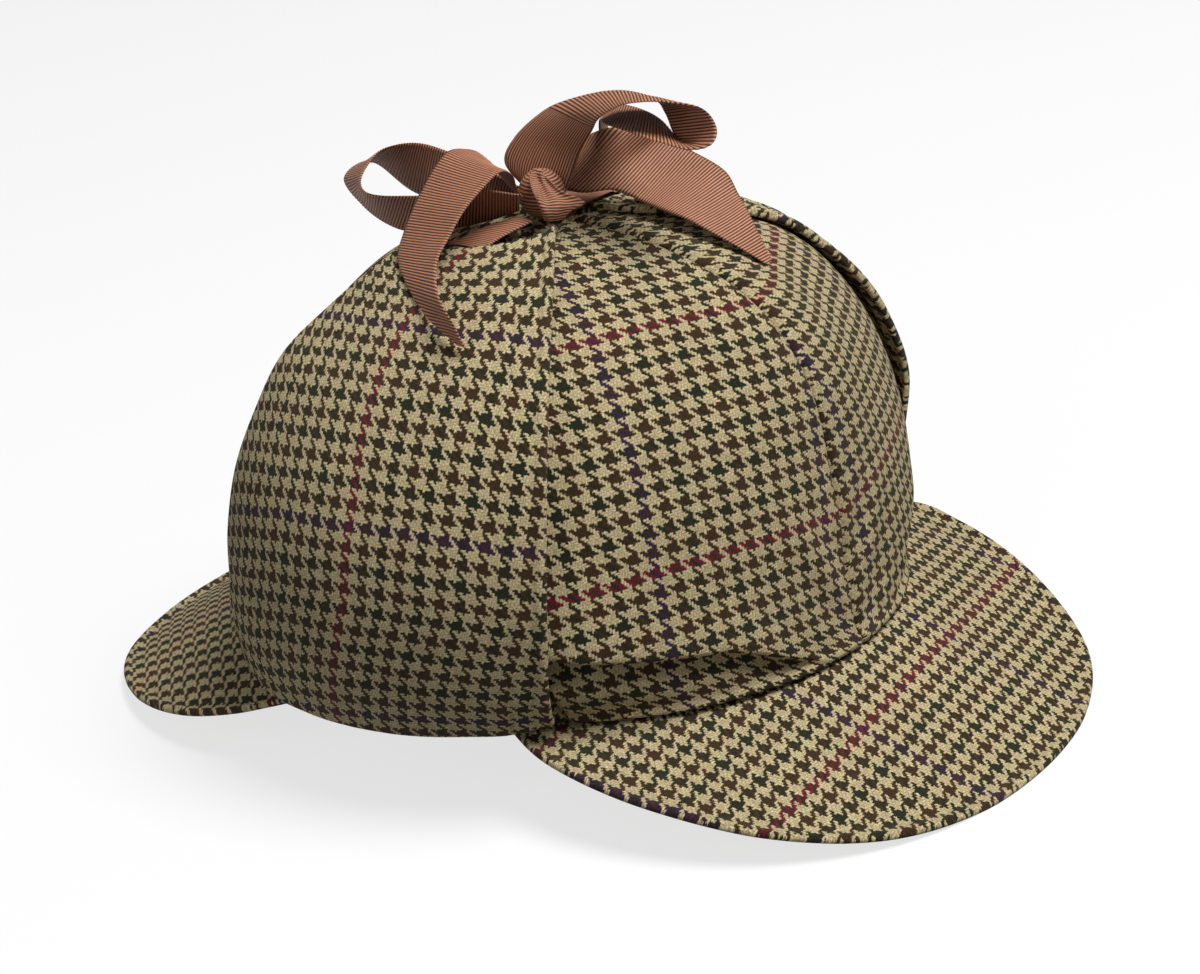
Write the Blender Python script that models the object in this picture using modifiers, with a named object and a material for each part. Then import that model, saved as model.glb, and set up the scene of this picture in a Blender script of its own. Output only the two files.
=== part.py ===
"""Deerstalker hat: six-gore crown, front and back peaks, two ear flaps tied up with a ribbon bow.

Frame: +Z up, the front of the hat faces -Y, the wearer's right is -X. The origin lies on the
surface that the hat rests on, below the middle of its crown. Tables are in millimetres and
degrees. An angle is measured round the crown, from the front (0) over either side to the back
(180), and SIDE is -1 for the wearer's right and +1 for the wearer's left.
"""

import math
from collections import namedtuple

import bpy
import bmesh
from mathutils import Matrix, Vector

MM = 0.001
FULL_TURN = 360.0
RIGHT = -1
LEFT = 1
GAP = 0.5                    # clear space between the crown and the peaks

SEAM_HEIGHT = 28.4           # the seam between crown and peaks, above the resting surface
LEAN = 1.45                  # the hat rests on both peaks with its front this much lower
CROWN_WALL = 2.0
PEAK_WALL = 2.4
FLAP_WALL = 2.6
RIBBON_WALL = 0.9
RIBBON_COLUMNS = 2
RIBBON_STEPS = 3             # grid rows for each row of a ribbon's table

GORES = ("front_right", "side_right", "back_right", "back_left", "side_left", "front_left")
GORE_SPAN = FULL_TURN / len(GORES)
GORE_COLUMNS = 8
GORE_ROWS = 12
GORE_TIP_REACH = 2.5         # the gores stop this far from the middle of the top
GORE_SEAM_GAP = 0.55         # at the outer face, which leaves 0.3 at the inner one
SEAM_DIP = 1.2               # how far the crown is drawn in along each seam
SEAM_DIP_ANGLE = 7.0
SEAM_DIP_FADE_LOW = 0.25     # the dip grows to its full depth over this share of the seam
SEAM_DIP_FADE_HIGH = 0.33
RIDGE_ANGLE = 20.0           # half the width of the ridge along the front seam

PEAK_COLUMNS = 28
PEAK_ROWS = 6
PEAK_RIM = 4.5               # the turned edge, which lies flat where the hat rests on it
PEAK_TUCK = 3.0              # how far a peak reaches in under the crown's wall

FLAP_COLUMNS = 22
FLAP_ROWS = 13
FLAP_BACK_ANGLE = 125.5
FLAP_FOLD_ROWS = 4
FLAP_SEAM_REACH = 91.0       # where the folded cloth meets the crown's lower edge
FLAP_FOLD_DEPTH = 2.0        # how far the fold hangs below the hem's outer line
FLAP_SEAM_START = 72.0
FLAP_SEAM_END = 106.0
FLAP_SEAM_EASE = 6.0
FLAP_SEAM_BELOW = 3.5        # the seam's depth below the crown's lower edge
FLAP_LIP = 3.5               # turned-in width of the hem where it isn't sewn to the crown
FLAP_FOLD_BIAS = 1.2         # the fold hangs lowest nearer to the hem than to the seam
FLAP_FOLD_POWER = 3          # the fold stays low at first and rises towards the seam
FLAP_HEM_SPREAD = 0.29       # the hem's own line fades out over this share of the flap

# Crown: semi-axes of the outline at each height above the seam, and how far the front seam stands
# out beyond it
CrownRow = namedtuple("CrownRow", "height front side back ridge")
CROWN = (
    CrownRow(0.0, 99.0, 91.0, 99.0, 0.0),
    CrownRow(6.0, 98.0, 98.5, 99.0, 0.0),
    CrownRow(14.0, 97.0, 105.0, 99.0, 0.0),
    CrownRow(26.0, 96.0, 106.5, 98.0, 0.0),
    CrownRow(45.0, 93.0, 105.0, 95.0, 1.0),
    CrownRow(64.0, 87.0, 99.0, 89.0, 4.0),
    CrownRow(81.0, 78.5, 90.0, 80.0, 8.0),
    CrownRow(96.0, 66.0, 77.0, 68.0, 11.0),
    CrownRow(107.0, 53.0, 61.0, 55.0, 10.0),
    CrownRow(114.5, 37.0, 43.0, 39.0, 6.0),
    CrownRow(118.5, 20.0, 23.0, 21.0, 2.0),
    CrownRow(119.5, 2.0, 2.0, 2.0, 0.0),
)

# Peaks: reach outward and drop below the seam, by angle from the peak's own middle. The front
# peak's left half is flatter and stays wide for longer.
PeakRow = namedtuple("PeakRow", "angle reach drop")
FRONT_PEAK_RIGHT = (
    PeakRow(0.0, 61.0, 22.0),
    PeakRow(12.0, 61.5, 21.8),
    PeakRow(24.0, 59.0, 19.5),
    PeakRow(36.0, 51.0, 14.0),
    PeakRow(47.0, 38.5, 8.5),
    PeakRow(57.0, 25.0, 4.5),
    PeakRow(64.0, 14.0, 2.5),
    PeakRow(70.0, 2.0, 1.0),
)
FRONT_PEAK_LEFT = (
    PeakRow(0.0, 61.0, 22.0),
    PeakRow(12.0, 59.5, 21.8),
    PeakRow(24.0, 56.0, 19.5),
    PeakRow(36.0, 47.5, 14.0),
    PeakRow(47.0, 39.5, 9.0),
    PeakRow(57.0, 33.0, 6.0),
    PeakRow(64.0, 28.0, 4.5),
    PeakRow(68.0, 14.0, 3.0),
    PeakRow(70.0, 2.0, 1.5),
)
BACK_PEAK = (
    PeakRow(0.0, 61.0, 30.0),
    PeakRow(12.6, 61.5, 29.8),
    PeakRow(25.0, 60.0, 28.0),
    PeakRow(38.0, 51.5, 24.0),
    PeakRow(50.0, 40.0, 18.0),
    PeakRow(60.0, 27.5, 11.0),
    PeakRow(67.0, 15.0, 5.5),
    PeakRow(73.0, 2.0, 2.0),
)
PEAKS = {
    "peak_front": {RIGHT: FRONT_PEAK_RIGHT, LEFT: FRONT_PEAK_LEFT},
    "peak_back": {RIGHT: BACK_PEAK, LEFT: BACK_PEAK},
}

# Ear flaps: angle of the front edge, then the outer face at the front edge, the middle and the
# back edge, from the hem upward. The left flap stands off further at its front edge, and its top
# is drawn further forward by its ribbon.
FlapRow = namedtuple(
    "FlapRow", "front_angle front middle back front_height middle_height back_height"
)
FLAP_RIGHT = (
    FlapRow(60.0, 103.0, 107.0, 112.0, 2.5, -6.0, -1.0),
    FlapRow(60.0, 108.0, 112.0, 113.0, 14.0, 9.0, 12.0),
    FlapRow(59.5, 110.5, 114.0, 112.5, 28.0, 27.0, 28.0),
    FlapRow(59.0, 110.0, 113.5, 111.0, 44.0, 44.0, 44.0),
    FlapRow(58.5, 106.0, 109.5, 106.5, 61.0, 61.0, 62.0),
    FlapRow(58.0, 98.5, 101.5, 98.0, 78.0, 78.0, 79.0),
    FlapRow(57.5, 87.0, 90.2, 88.0, 93.0, 93.0, 94.0),
    FlapRow(57.0, 71.0, 75.8, 73.2, 106.0, 105.0, 105.5),
    FlapRow(56.5, 51.0, 58.3, 59.0, 116.5, 115.0, 114.5),
    FlapRow(56.5, 22.0, 37.0, 47.0, 124.5, 122.5, 120.5),
)
FLAP_LEFT = (
    FlapRow(60.0, 103.0, 107.0, 112.0, 2.5, -6.0, -1.0),
    FlapRow(60.0, 110.0, 112.0, 113.0, 14.0, 9.0, 12.0),
    FlapRow(59.5, 113.5, 114.0, 112.5, 28.0, 27.0, 28.0),
    FlapRow(59.0, 114.5, 113.5, 111.0, 44.0, 44.0, 44.0),
    FlapRow(58.5, 111.5, 110.0, 106.5, 61.0, 61.0, 62.0),
    FlapRow(58.0, 102.5, 102.0, 98.0, 78.0, 78.0, 79.0),
    FlapRow(57.5, 87.0, 89.5, 86.5, 93.0, 93.0, 94.0),
    FlapRow(57.0, 71.0, 74.5, 71.0, 106.0, 105.0, 105.5),
    FlapRow(48.0, 45.0, 57.5, 58.0, 116.5, 113.5, 113.0),
    FlapRow(22.0, 10.0, 37.0, 48.0, 123.5, 121.0, 118.5),
)
FLAPS = {RIGHT: FLAP_RIGHT, LEFT: FLAP_LEFT}
FLAP_HEM_ROW = FLAP_RIGHT[0]
# The hem's height, by angle
HemRow = namedtuple("HemRow", "angle height")
FLAP_HEM = (
    HemRow(60.0, 3.0),
    HemRow(64.0, 2.0),
    HemRow(68.0, 0.5),
    HemRow(75.0, -0.5),
    HemRow(84.0, -2.0),
    HemRow(94.0, -3.0),
    HemRow(106.0, -4.2),
    HemRow(114.0, -4.6),
    HemRow(121.0, -2.4),
    HemRow(125.5, 3.0),
)


# Ribbons: middle of the ribbon above the seam, the way its width points (turn from +X towards
# +Y, tilt above level) and its width, from one end to the other
RibbonRow = namedtuple("RibbonRow", "x y z turn tilt width")
LOOP_RIGHT = (
    RibbonRow(-3.0, 4.0, 126.0, 260.0, -10.0, 12.0),
    RibbonRow(-1.7, 7.3, 130.7, 268.0, -16.0, 23.0),
    RibbonRow(0.9, 3.7, 140.6, 270.0, -5.0, 24.0),
    RibbonRow(0.4, -4.8, 149.1, 254.0, -3.0, 24.0),
    RibbonRow(-0.6, -11.8, 153.6, 238.0, 0.0, 24.0),
    RibbonRow(0.2, -20.4, 157.1, 226.0, 4.0, 24.0),
    RibbonRow(1.0, -28.0, 158.5, 219.0, 8.0, 24.0),
    RibbonRow(4.0, -36.0, 157.5, 222.0, 14.0, 24.0),
    RibbonRow(5.0, -43.0, 155.0, 242.0, 16.0, 24.0),
    RibbonRow(2.6, -48.0, 151.0, 248.0, 15.0, 24.0),
    RibbonRow(-0.4, -50.4, 148.0, 238.0, 13.0, 24.0),
    RibbonRow(-0.3, -45.6, 147.4, 224.0, 7.0, 24.0),
    RibbonRow(1.0, -38.0, 149.5, 216.0, 0.0, 24.0),
    RibbonRow(3.0, -28.0, 150.8, 210.0, -1.0, 24.0),
    RibbonRow(7.5, -17.0, 150.3, 206.0, -1.0, 21.0),
    RibbonRow(19.0, -5.0, 146.3, 199.0, -6.0, 13.0),
    RibbonRow(27.0, 2.0, 137.5, 200.0, -10.0, 9.0),
)
LOOP_LEFT = (
    RibbonRow(-4.0, 10.0, 125.5, 236.0, 45.0, 8.0),
    RibbonRow(-4.0, 26.0, 127.0, 237.0, 54.0, 17.0),
    RibbonRow(-1.0, 50.0, 128.0, 238.0, 54.0, 24.0),
    RibbonRow(-7.0, 62.0, 133.0, 233.0, 26.0, 24.0),
    RibbonRow(-21.0, 61.0, 131.0, 237.0, 19.0, 24.0),
    RibbonRow(-29.0, 50.0, 127.0, 224.0, 28.0, 24.0),
    RibbonRow(-29.0, 35.0, 125.0, 236.0, 43.0, 22.0),
    RibbonRow(-27.0, 21.0, 127.0, 231.0, 52.0, 20.0),
    RibbonRow(-23.0, 10.0, 128.5, 226.0, 54.0, 16.0),
    RibbonRow(-16.5, 2.0, 128.5, 222.0, 50.0, 9.0),
)
TAIL_RIGHT = (
    RibbonRow(9.0, 1.0, 133.0, 359.0, 42.0, 19.0),
    RibbonRow(9.0, -3.0, 135.0, 334.0, 43.0, 22.0),
    RibbonRow(10.0, -7.0, 135.0, 327.0, 36.0, 26.0),
    RibbonRow(14.0, -11.0, 133.0, 332.0, 34.0, 25.0),
    RibbonRow(19.0, -15.0, 132.0, 348.0, 27.0, 24.0),
    RibbonRow(21.0, -19.0, 130.0, 353.0, 24.0, 24.0),
    RibbonRow(22.0, -24.0, 128.0, 351.0, 24.0, 24.0),
    RibbonRow(21.5, -34.0, 125.0, 345.0, 17.0, 24.0),
    RibbonRow(20.5, -41.0, 121.3, 347.0, 10.0, 20.0),
    RibbonRow(18.5, -50.3, 116.0, 345.0, 12.0, 12.0),
    RibbonRow(19.0, -60.0, 107.5, 350.0, 5.0, 3.0),
)
TAIL_LEFT = (
    RibbonRow(-12.0, 6.0, 130.0, 240.0, -15.0, 8.0),
    RibbonRow(-12.0, 11.5, 135.0, 244.0, -12.0, 20.0),
    RibbonRow(-15.0, 13.0, 139.0, 250.0, -7.0, 24.0),
    RibbonRow(-24.0, 13.0, 141.0, 258.0, -4.0, 24.0),
    RibbonRow(-37.0, 14.0, 133.5, 256.0, 5.0, 24.0),
    RibbonRow(-46.0, 14.0, 126.0, 253.0, 9.0, 24.0),
    RibbonRow(-53.0, 12.0, 121.5, 249.0, 10.0, 24.0),
    RibbonRow(-62.0, 4.0, 118.0, 243.0, 9.0, 24.0),
    RibbonRow(-69.0, -5.0, 115.0, 242.0, 9.0, 22.0),
    RibbonRow(-73.0, -13.0, 111.0, 250.0, 7.0, 12.0),
    RibbonRow(-74.0, -19.0, 107.0, 250.0, 0.0, 3.0),
)
TIE_RIGHT = (
    RibbonRow(-34.0, 9.0, 119.3, 270.0, 0.0, 12.0),
    RibbonRow(-26.0, 7.0, 121.3, 270.0, 0.0, 11.0),
    RibbonRow(-17.0, 0.5, 123.8, 270.0, 0.0, 8.0),
)
TIE_LEFT = (
    RibbonRow(33.0, 10.0, 118.5, 270.0, 0.0, 20.0),
    RibbonRow(18.0, 5.0, 120.5, 270.0, 0.0, 14.0),
    RibbonRow(1.0, -1.0, 122.0, 270.0, 0.0, 8.0),
)
RIBBONS = {
    "ribbon_loop_right": LOOP_RIGHT,
    "ribbon_loop_left": LOOP_LEFT,
    "ribbon_tail_right": TAIL_RIGHT,
    "ribbon_tail_left": TAIL_LEFT,
    "ribbon_tie_right": TIE_RIGHT,
    "ribbon_tie_left": TIE_LEFT,
}
KNOT_MIDDLE = (-9.5, -6.5, 129.5)
KNOT_RADII = (6.0, 7.0, 8.0)
KNOT_SEGMENTS = 20
KNOT_RINGS = 10
KNOT_PLEATS = 5
KNOT_PLEAT_DEPTH = 0.07      # share of the knot's radius


# Curves through tables

def smooth(rows, column, key, value):
    """Cubic curve through one column of a table, read where its key column has this value."""
    keys = [getattr(row, key) for row in rows]
    values = [getattr(row, column) for row in rows]
    last = len(rows) - 1
    value = min(max(value, keys[0]), keys[last])
    index = 0
    while index < last - 1 and value > keys[index + 1]:
        index += 1
    span = keys[index + 1] - keys[index]
    share = (value - keys[index]) / span

    def slope(at):
        before = max(at - 1, 0)
        after = min(at + 1, last)
        return (values[after] - values[before]) / (keys[after] - keys[before])

    return hermite(values[index], values[index + 1], slope(index) * span, slope(index + 1) * span, share)


def hermite(start, end, start_slope, end_slope, share):
    square = share * share
    cube = square * share
    return (
        start * (2 * cube - 3 * square + 1)
        + start_slope * (cube - 2 * square + share)
        + end * (3 * square - 2 * cube)
        + end_slope * (cube - square)
    )


def along(rows, share):
    """Every column of a table at a share of the way from its first row to its last."""
    last = len(rows) - 1
    place = min(max(share, 0.0), 1.0) * last
    index = min(int(place), last - 1)
    part = place - index
    result = []
    for column in range(len(rows[0])):
        def value(at):
            return rows[min(max(at, 0), last)][column]
        start_slope = (value(index + 1) - value(index - 1)) / 2
        end_slope = (value(index + 2) - value(index)) / 2
        result.append(hermite(value(index), value(index + 1), start_slope, end_slope, part))
    return type(rows[0])(*result)


def ease(value):
    value = min(max(value, 0.0), 1.0)
    return value * value * (3 - 2 * value)


# Shapes

def outline(row, angle):
    """Point on a crown outline, as x and y, for an angle round the crown on the left side."""
    turn = math.radians(angle)
    depth = row.front if math.cos(turn) > 0 else row.back
    return row.side * math.sin(turn), -depth * math.cos(turn)


def near_seam(angle, spacing, width):
    """1 at the seams that lie this far apart, fading out to both sides of each."""
    off = abs((angle + spacing / 2) % spacing - spacing / 2)
    return math.exp(-(off / width) ** 2)


def crown_point(angle, share):
    row = along(CROWN, share)
    x, y = outline(row, angle)
    dip = SEAM_DIP * near_seam(angle, GORE_SPAN, SEAM_DIP_ANGLE)
    dip *= ease(share / SEAM_DIP_FADE_LOW) * ease((1 - share) / SEAM_DIP_FADE_HIGH)
    ridge = row.ridge * near_seam(angle, FULL_TURN, RIDGE_ANGLE)
    scale = 1 + (ridge - dip) / max(math.hypot(x, y), GORE_TIP_REACH)
    return Vector((x * scale, y * scale, SEAM_HEIGHT + row.height))


def gore_point(number):
    """A gore's outer face: across runs from seam to seam, up from the lower edge to the top."""
    def point(across, up):
        start = number * -GORE_SPAN
        middle = start - GORE_SPAN / 2
        angle = start - GORE_SPAN * across
        reach = crown_point(angle, up)
        radius = max(math.hypot(reach.x, reach.y), GORE_TIP_REACH)
        trim = math.degrees(GORE_SEAM_GAP / 2 / radius)
        angle = middle + (angle - middle) * (1 - 2 * trim / GORE_SPAN)
        return crown_point(angle, up)
    return point


def peak_point(halves, facing):
    """A peak's lower face, facing -1 at the front and +1 at the back."""
    def point(across, out):
        side = RIGHT if across < 0.5 else LEFT
        rows = halves[side]
        angle = rows[-1].angle * (2 * across - 1)
        reach = smooth(rows, "reach", "angle", abs(angle))
        drop = smooth(rows, "drop", "angle", abs(angle))
        seam = CROWN[0]
        depth = seam.front if facing < 0 else seam.back
        turn = math.radians(angle)
        x = seam.side * math.sin(turn)
        y = facing * depth * math.cos(turn)
        outward = Vector((math.sin(turn) / seam.side, facing * math.cos(turn) / depth)).normalized()
        rim = min(PEAK_RIM, reach / 2)
        distance = -PEAK_TUCK + (reach - rim + PEAK_TUCK) * out * (PEAK_ROWS / (PEAK_ROWS - 1))
        sloped = max(min(distance / (reach - rim), 1.0), 0.0)
        if out == 1.0:
            distance = reach
        height = SEAM_HEIGHT - GAP - PEAK_WALL - drop * sloped
        return Vector((x + outward.x * distance, y + outward.y * distance, height))
    return point


def bow_curve(start, middle, end, share):
    """Quadratic curve that passes through three values."""
    bend = 4 * middle - 2 * start - 2 * end
    return start + (end - start) * share + bend * share * (1 - share)


def flap_outer(side, across, up):
    row = along(FLAPS[side], up)
    angle = row.front_angle + (FLAP_BACK_ANGLE - row.front_angle) * across
    reach = bow_curve(row.front, row.middle, row.back, across)
    height = bow_curve(row.front_height, row.middle_height, row.back_height, across)
    low = FLAP_HEM_ROW
    hem = smooth(FLAP_HEM, "height", "angle", angle)
    plain = bow_curve(low.front_height, low.middle_height, low.back_height, across)
    height += (hem - plain) * (1 - ease(up / FLAP_HEM_SPREAD))
    turn = math.radians(angle)
    return Vector((side * reach * math.sin(turn), -reach * math.cos(turn), SEAM_HEIGHT + height))


def flap_point(side):
    """A flap's outer face: across runs from the front edge to the back, up from the seam."""
    fold_share = FLAP_FOLD_ROWS / (FLAP_FOLD_ROWS + FLAP_ROWS)

    def point(across, up):
        if up >= fold_share:
            return flap_outer(side, across, (up - fold_share) / (1 - fold_share))
        hem = flap_outer(side, across, 0.0)
        angle = FLAP_HEM_ROW.front_angle
        angle += (FLAP_BACK_ANGLE - FLAP_HEM_ROW.front_angle) * across
        outward = Vector((hem.x, hem.y, 0)).normalized()
        reach = math.hypot(hem.x, hem.y)
        sewn = ease((angle - FLAP_SEAM_START) / FLAP_SEAM_EASE + 1)
        sewn *= ease((FLAP_SEAM_END - angle) / FLAP_SEAM_EASE + 1)
        inward = FLAP_LIP + (reach - FLAP_SEAM_REACH - FLAP_LIP) * sewn
        rise = (SEAM_HEIGHT - FLAP_SEAM_BELOW - hem.z) * sewn
        share = 1 - up / fold_share
        sag = FLAP_FOLD_DEPTH * math.sin(math.pi * min(share * FLAP_FOLD_BIAS, 1.0)) * sewn
        place = hem - outward * inward * share
        place.z += rise * share ** FLAP_FOLD_POWER - sag
        return place
    return point


def ribbon_point(rows):
    """The middle of a ribbon's thickness: across its width, up from its first row to its last."""
    def point(across, up):
        row = along(rows, up)
        turn = math.radians(row.turn)
        tilt = math.radians(row.tilt)
        level = math.cos(tilt)
        width = Vector((level * math.cos(turn), level * math.sin(turn), math.sin(tilt)))
        middle = Vector((row.x, row.y, SEAM_HEIGHT + row.z))
        return middle + width * row.width * (across - 0.5)
    return point


# Mesh building

def make_collection(name):
    collection = bpy.data.collections.new(name)
    bpy.context.scene.collection.children.link(collection)
    return collection


def make_material(name, color, roughness):
    material = bpy.data.materials.new(name)
    material.use_nodes = True
    shader = material.node_tree.nodes["Principled BSDF"]
    shader.inputs["Base Color"].default_value = (*color, 1.0)
    shader.inputs["Roughness"].default_value = roughness
    shader.inputs["Metallic"].default_value = 0.0
    return material


def settle(place):
    """Lean the hat forward a little, round the middle of its seam, so that both peaks rest."""
    return Matrix.Rotation(math.radians(LEAN), 3, "X") @ place


def make_sheet(name, point, columns, rows, wall, material, collection, turned=False,
               flat_below_zero=False):
    """Closed solid: a grid surface through point(across, up), thickened behind its face."""
    mesh = bpy.data.meshes.new(name)
    build = bmesh.new()
    grid = []
    for row in range(rows + 1):
        line = []
        for column in range(columns + 1):
            place = settle(point(column / columns, row / rows))
            if flat_below_zero:
                place.z = max(place.z, 0.0)
            line.append(build.verts.new(place * MM))
        grid.append(line)
    for row in range(rows):
        for column in range(columns):
            low, high = grid[row], grid[row + 1]
            corners = [low[column], low[column + 1], high[column + 1], high[column]]
            if turned:
                corners.reverse()
            build.faces.new(corners)
    build.to_mesh(mesh)
    build.free()
    mesh.materials.append(material)
    mesh.shade_smooth()
    item = bpy.data.objects.new(name, mesh)
    collection.objects.link(item)
    thicken = item.modifiers.new("Wall", "SOLIDIFY")
    thicken.thickness = wall * MM
    thicken.offset = -1
    return item


def build_crown(collection, material):
    for number, name in enumerate(GORES):
        make_sheet("crown_" + name, gore_point(number), GORE_COLUMNS, GORE_ROWS, CROWN_WALL,
                   material, collection, turned=True)


def build_peaks(collection, material):
    for name, facing in (("peak_front", -1), ("peak_back", 1)):
        make_sheet(name, peak_point(PEAKS[name], facing), PEAK_COLUMNS, PEAK_ROWS, PEAK_WALL,
                   material, collection, turned=facing > 0, flat_below_zero=True)


def build_flaps(collection, material):
    for name, side in (("earflap_right", RIGHT), ("earflap_left", LEFT)):
        make_sheet(name, flap_point(side), FLAP_COLUMNS, FLAP_ROWS + FLAP_FOLD_ROWS, FLAP_WALL,
                   material, collection, turned=side < 0)


def build_ribbons(collection, material):
    for name, rows in RIBBONS.items():
        make_sheet(name, ribbon_point(rows), RIBBON_COLUMNS, (len(rows) - 1) * RIBBON_STEPS,
                   RIBBON_WALL, material, collection)


def build_knot(collection, material):
    mesh = bpy.data.meshes.new("ribbon_knot")
    build = bmesh.new()
    bmesh.ops.create_uvsphere(build, u_segments=KNOT_SEGMENTS, v_segments=KNOT_RINGS, radius=1.0)
    for vert in build.verts:
        around = math.atan2(vert.co.y, vert.co.x)
        pleat = 1 + KNOT_PLEAT_DEPTH * math.cos(KNOT_PLEATS * around) * math.hypot(vert.co.x, vert.co.y)
        place = Vector(value * size * pleat for value, size in zip(vert.co, KNOT_RADII))
        place += Vector(KNOT_MIDDLE) + Vector((0, 0, SEAM_HEIGHT))
        vert.co = settle(place) * MM
    build.to_mesh(mesh)
    build.free()
    mesh.materials.append(material)
    mesh.shade_smooth()
    item = bpy.data.objects.new("ribbon_knot", mesh)
    collection.objects.link(item)


def main():
    for item in list(bpy.data.objects):
        bpy.data.objects.remove(item, do_unlink=True)
    hat = make_collection("deerstalker_hat")
    tweed = make_material("tweed", (0.22, 0.17, 0.09), 0.95)
    build_crown(hat, tweed)
    build_peaks(hat, tweed)
    build_flaps(hat, tweed)
    ribbon = make_material("ribbon", (0.25, 0.1, 0.055), 0.6)
    build_ribbons(hat, ribbon)
    build_knot(hat, ribbon)


main()
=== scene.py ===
"""Deerstalker hat in tweed, with its ribbon bow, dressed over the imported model.

Lengths in the tables are millimetres, angles degrees, and heights are above the seam between
crown and peaks. The front of the hat faces -Y and the wearer's right is -X.
"""

import math

import bpy
import numpy as np
from mathutils import Matrix, Vector, noise


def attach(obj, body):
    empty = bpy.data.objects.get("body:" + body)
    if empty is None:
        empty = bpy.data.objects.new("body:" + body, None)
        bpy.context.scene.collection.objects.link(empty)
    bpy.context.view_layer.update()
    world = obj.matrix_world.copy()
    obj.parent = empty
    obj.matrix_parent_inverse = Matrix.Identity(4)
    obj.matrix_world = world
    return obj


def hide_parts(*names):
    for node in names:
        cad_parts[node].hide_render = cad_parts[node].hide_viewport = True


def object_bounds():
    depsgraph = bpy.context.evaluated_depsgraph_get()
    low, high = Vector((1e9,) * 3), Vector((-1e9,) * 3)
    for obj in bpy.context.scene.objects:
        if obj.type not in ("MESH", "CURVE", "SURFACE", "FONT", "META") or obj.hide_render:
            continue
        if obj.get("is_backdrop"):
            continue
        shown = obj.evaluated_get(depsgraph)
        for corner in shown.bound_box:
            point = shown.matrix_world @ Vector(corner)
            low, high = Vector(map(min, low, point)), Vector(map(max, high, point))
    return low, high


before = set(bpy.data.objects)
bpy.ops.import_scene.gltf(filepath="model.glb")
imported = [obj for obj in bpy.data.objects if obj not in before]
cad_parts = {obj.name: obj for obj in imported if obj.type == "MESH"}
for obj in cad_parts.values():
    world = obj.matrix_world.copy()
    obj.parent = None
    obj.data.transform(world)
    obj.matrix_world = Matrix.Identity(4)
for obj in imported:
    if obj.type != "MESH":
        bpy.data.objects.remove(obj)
CAD_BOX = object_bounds()

MM = 0.001
RIGHT = -1
LEFT = 1

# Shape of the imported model

FULL_TURN = 360.0
GAP = 0.5
SEAM_HEIGHT = 28.4
LEAN = 1.45
CROWN_WALL = 2.0
PEAK_WALL = 2.4
FLAP_WALL = 2.6

GORES = ("front_right", "side_right", "back_right", "back_left", "side_left", "front_left")
GORE_SPAN = FULL_TURN / len(GORES)
GORE_TIP_REACH = 2.5
SEAM_DIP = 1.2
SEAM_DIP_ANGLE = 7.0
SEAM_DIP_FADE_LOW = 0.25
SEAM_DIP_FADE_HIGH = 0.33
RIDGE_ANGLE = 20.0
PEAK_RIM = 4.5
PEAK_TUCK = 5.0              # 2 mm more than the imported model's, so that the seam is closed
FLAP_FOLD_SHARE = 4 / 17
FLAP_BACK_ANGLE = 125.5
FLAP_SEAM_REACH = 91.0
FLAP_FOLD_DEPTH = 2.0
FLAP_SEAM_START = 72.0
FLAP_SEAM_END = 106.0
FLAP_SEAM_EASE = 6.0
FLAP_SEAM_BELOW = 3.5
FLAP_LIP = 3.5
FLAP_FOLD_BIAS = 1.2
FLAP_FOLD_POWER = 3
FLAP_HEM_SPREAD = 0.29

# Crown outlines: height, semi-axis at the front, side and back, and the front seam's ridge
CROWN = np.array((
    (0.0, 99.0, 91.0, 99.0, 0.0),
    (6.0, 98.0, 98.5, 99.0, 0.0),
    (14.0, 97.0, 105.0, 99.0, 0.0),
    (26.0, 96.0, 106.5, 98.0, 0.0),
    (45.0, 93.0, 105.0, 95.0, 1.0),
    (64.0, 87.0, 99.0, 89.0, 4.0),
    (81.0, 78.5, 90.0, 80.0, 8.0),
    (96.0, 66.0, 77.0, 68.0, 11.0),
    (107.0, 53.0, 61.0, 55.0, 10.0),
    (114.5, 37.0, 43.0, 39.0, 6.0),
    (118.5, 20.0, 23.0, 21.0, 2.0),
    (119.5, 2.0, 2.0, 2.0, 0.0),
))

# Peaks: angle from the peak's middle, reach outward and drop below the seam
FRONT_PEAK_RIGHT = np.array((
    (0.0, 61.0, 22.0),
    (12.0, 61.5, 21.8),
    (24.0, 59.0, 19.5),
    (36.0, 51.0, 14.0),
    (47.0, 38.5, 8.5),
    (57.0, 25.0, 4.5),
    (64.0, 14.0, 2.5),
    (70.0, 2.0, 1.0),
))
FRONT_PEAK_LEFT = np.array((
    (0.0, 61.0, 22.0),
    (12.0, 59.5, 21.8),
    (24.0, 56.0, 19.5),
    (36.0, 47.5, 14.0),
    (47.0, 39.5, 9.0),
    (57.0, 33.0, 6.0),
    (64.0, 28.0, 4.5),
    (68.0, 14.0, 3.0),
    (70.0, 2.0, 1.5),
))
BACK_PEAK = np.array((
    (0.0, 61.0, 30.0),
    (12.6, 61.5, 29.8),
    (25.0, 60.0, 28.0),
    (38.0, 51.5, 24.0),
    (50.0, 40.0, 18.0),
    (60.0, 27.5, 11.0),
    (67.0, 15.0, 5.5),
    (73.0, 2.0, 2.0),
))
PEAKS = {
    "front": {RIGHT: FRONT_PEAK_RIGHT, LEFT: FRONT_PEAK_LEFT},
    "back": {RIGHT: BACK_PEAK, LEFT: BACK_PEAK},
}

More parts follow.
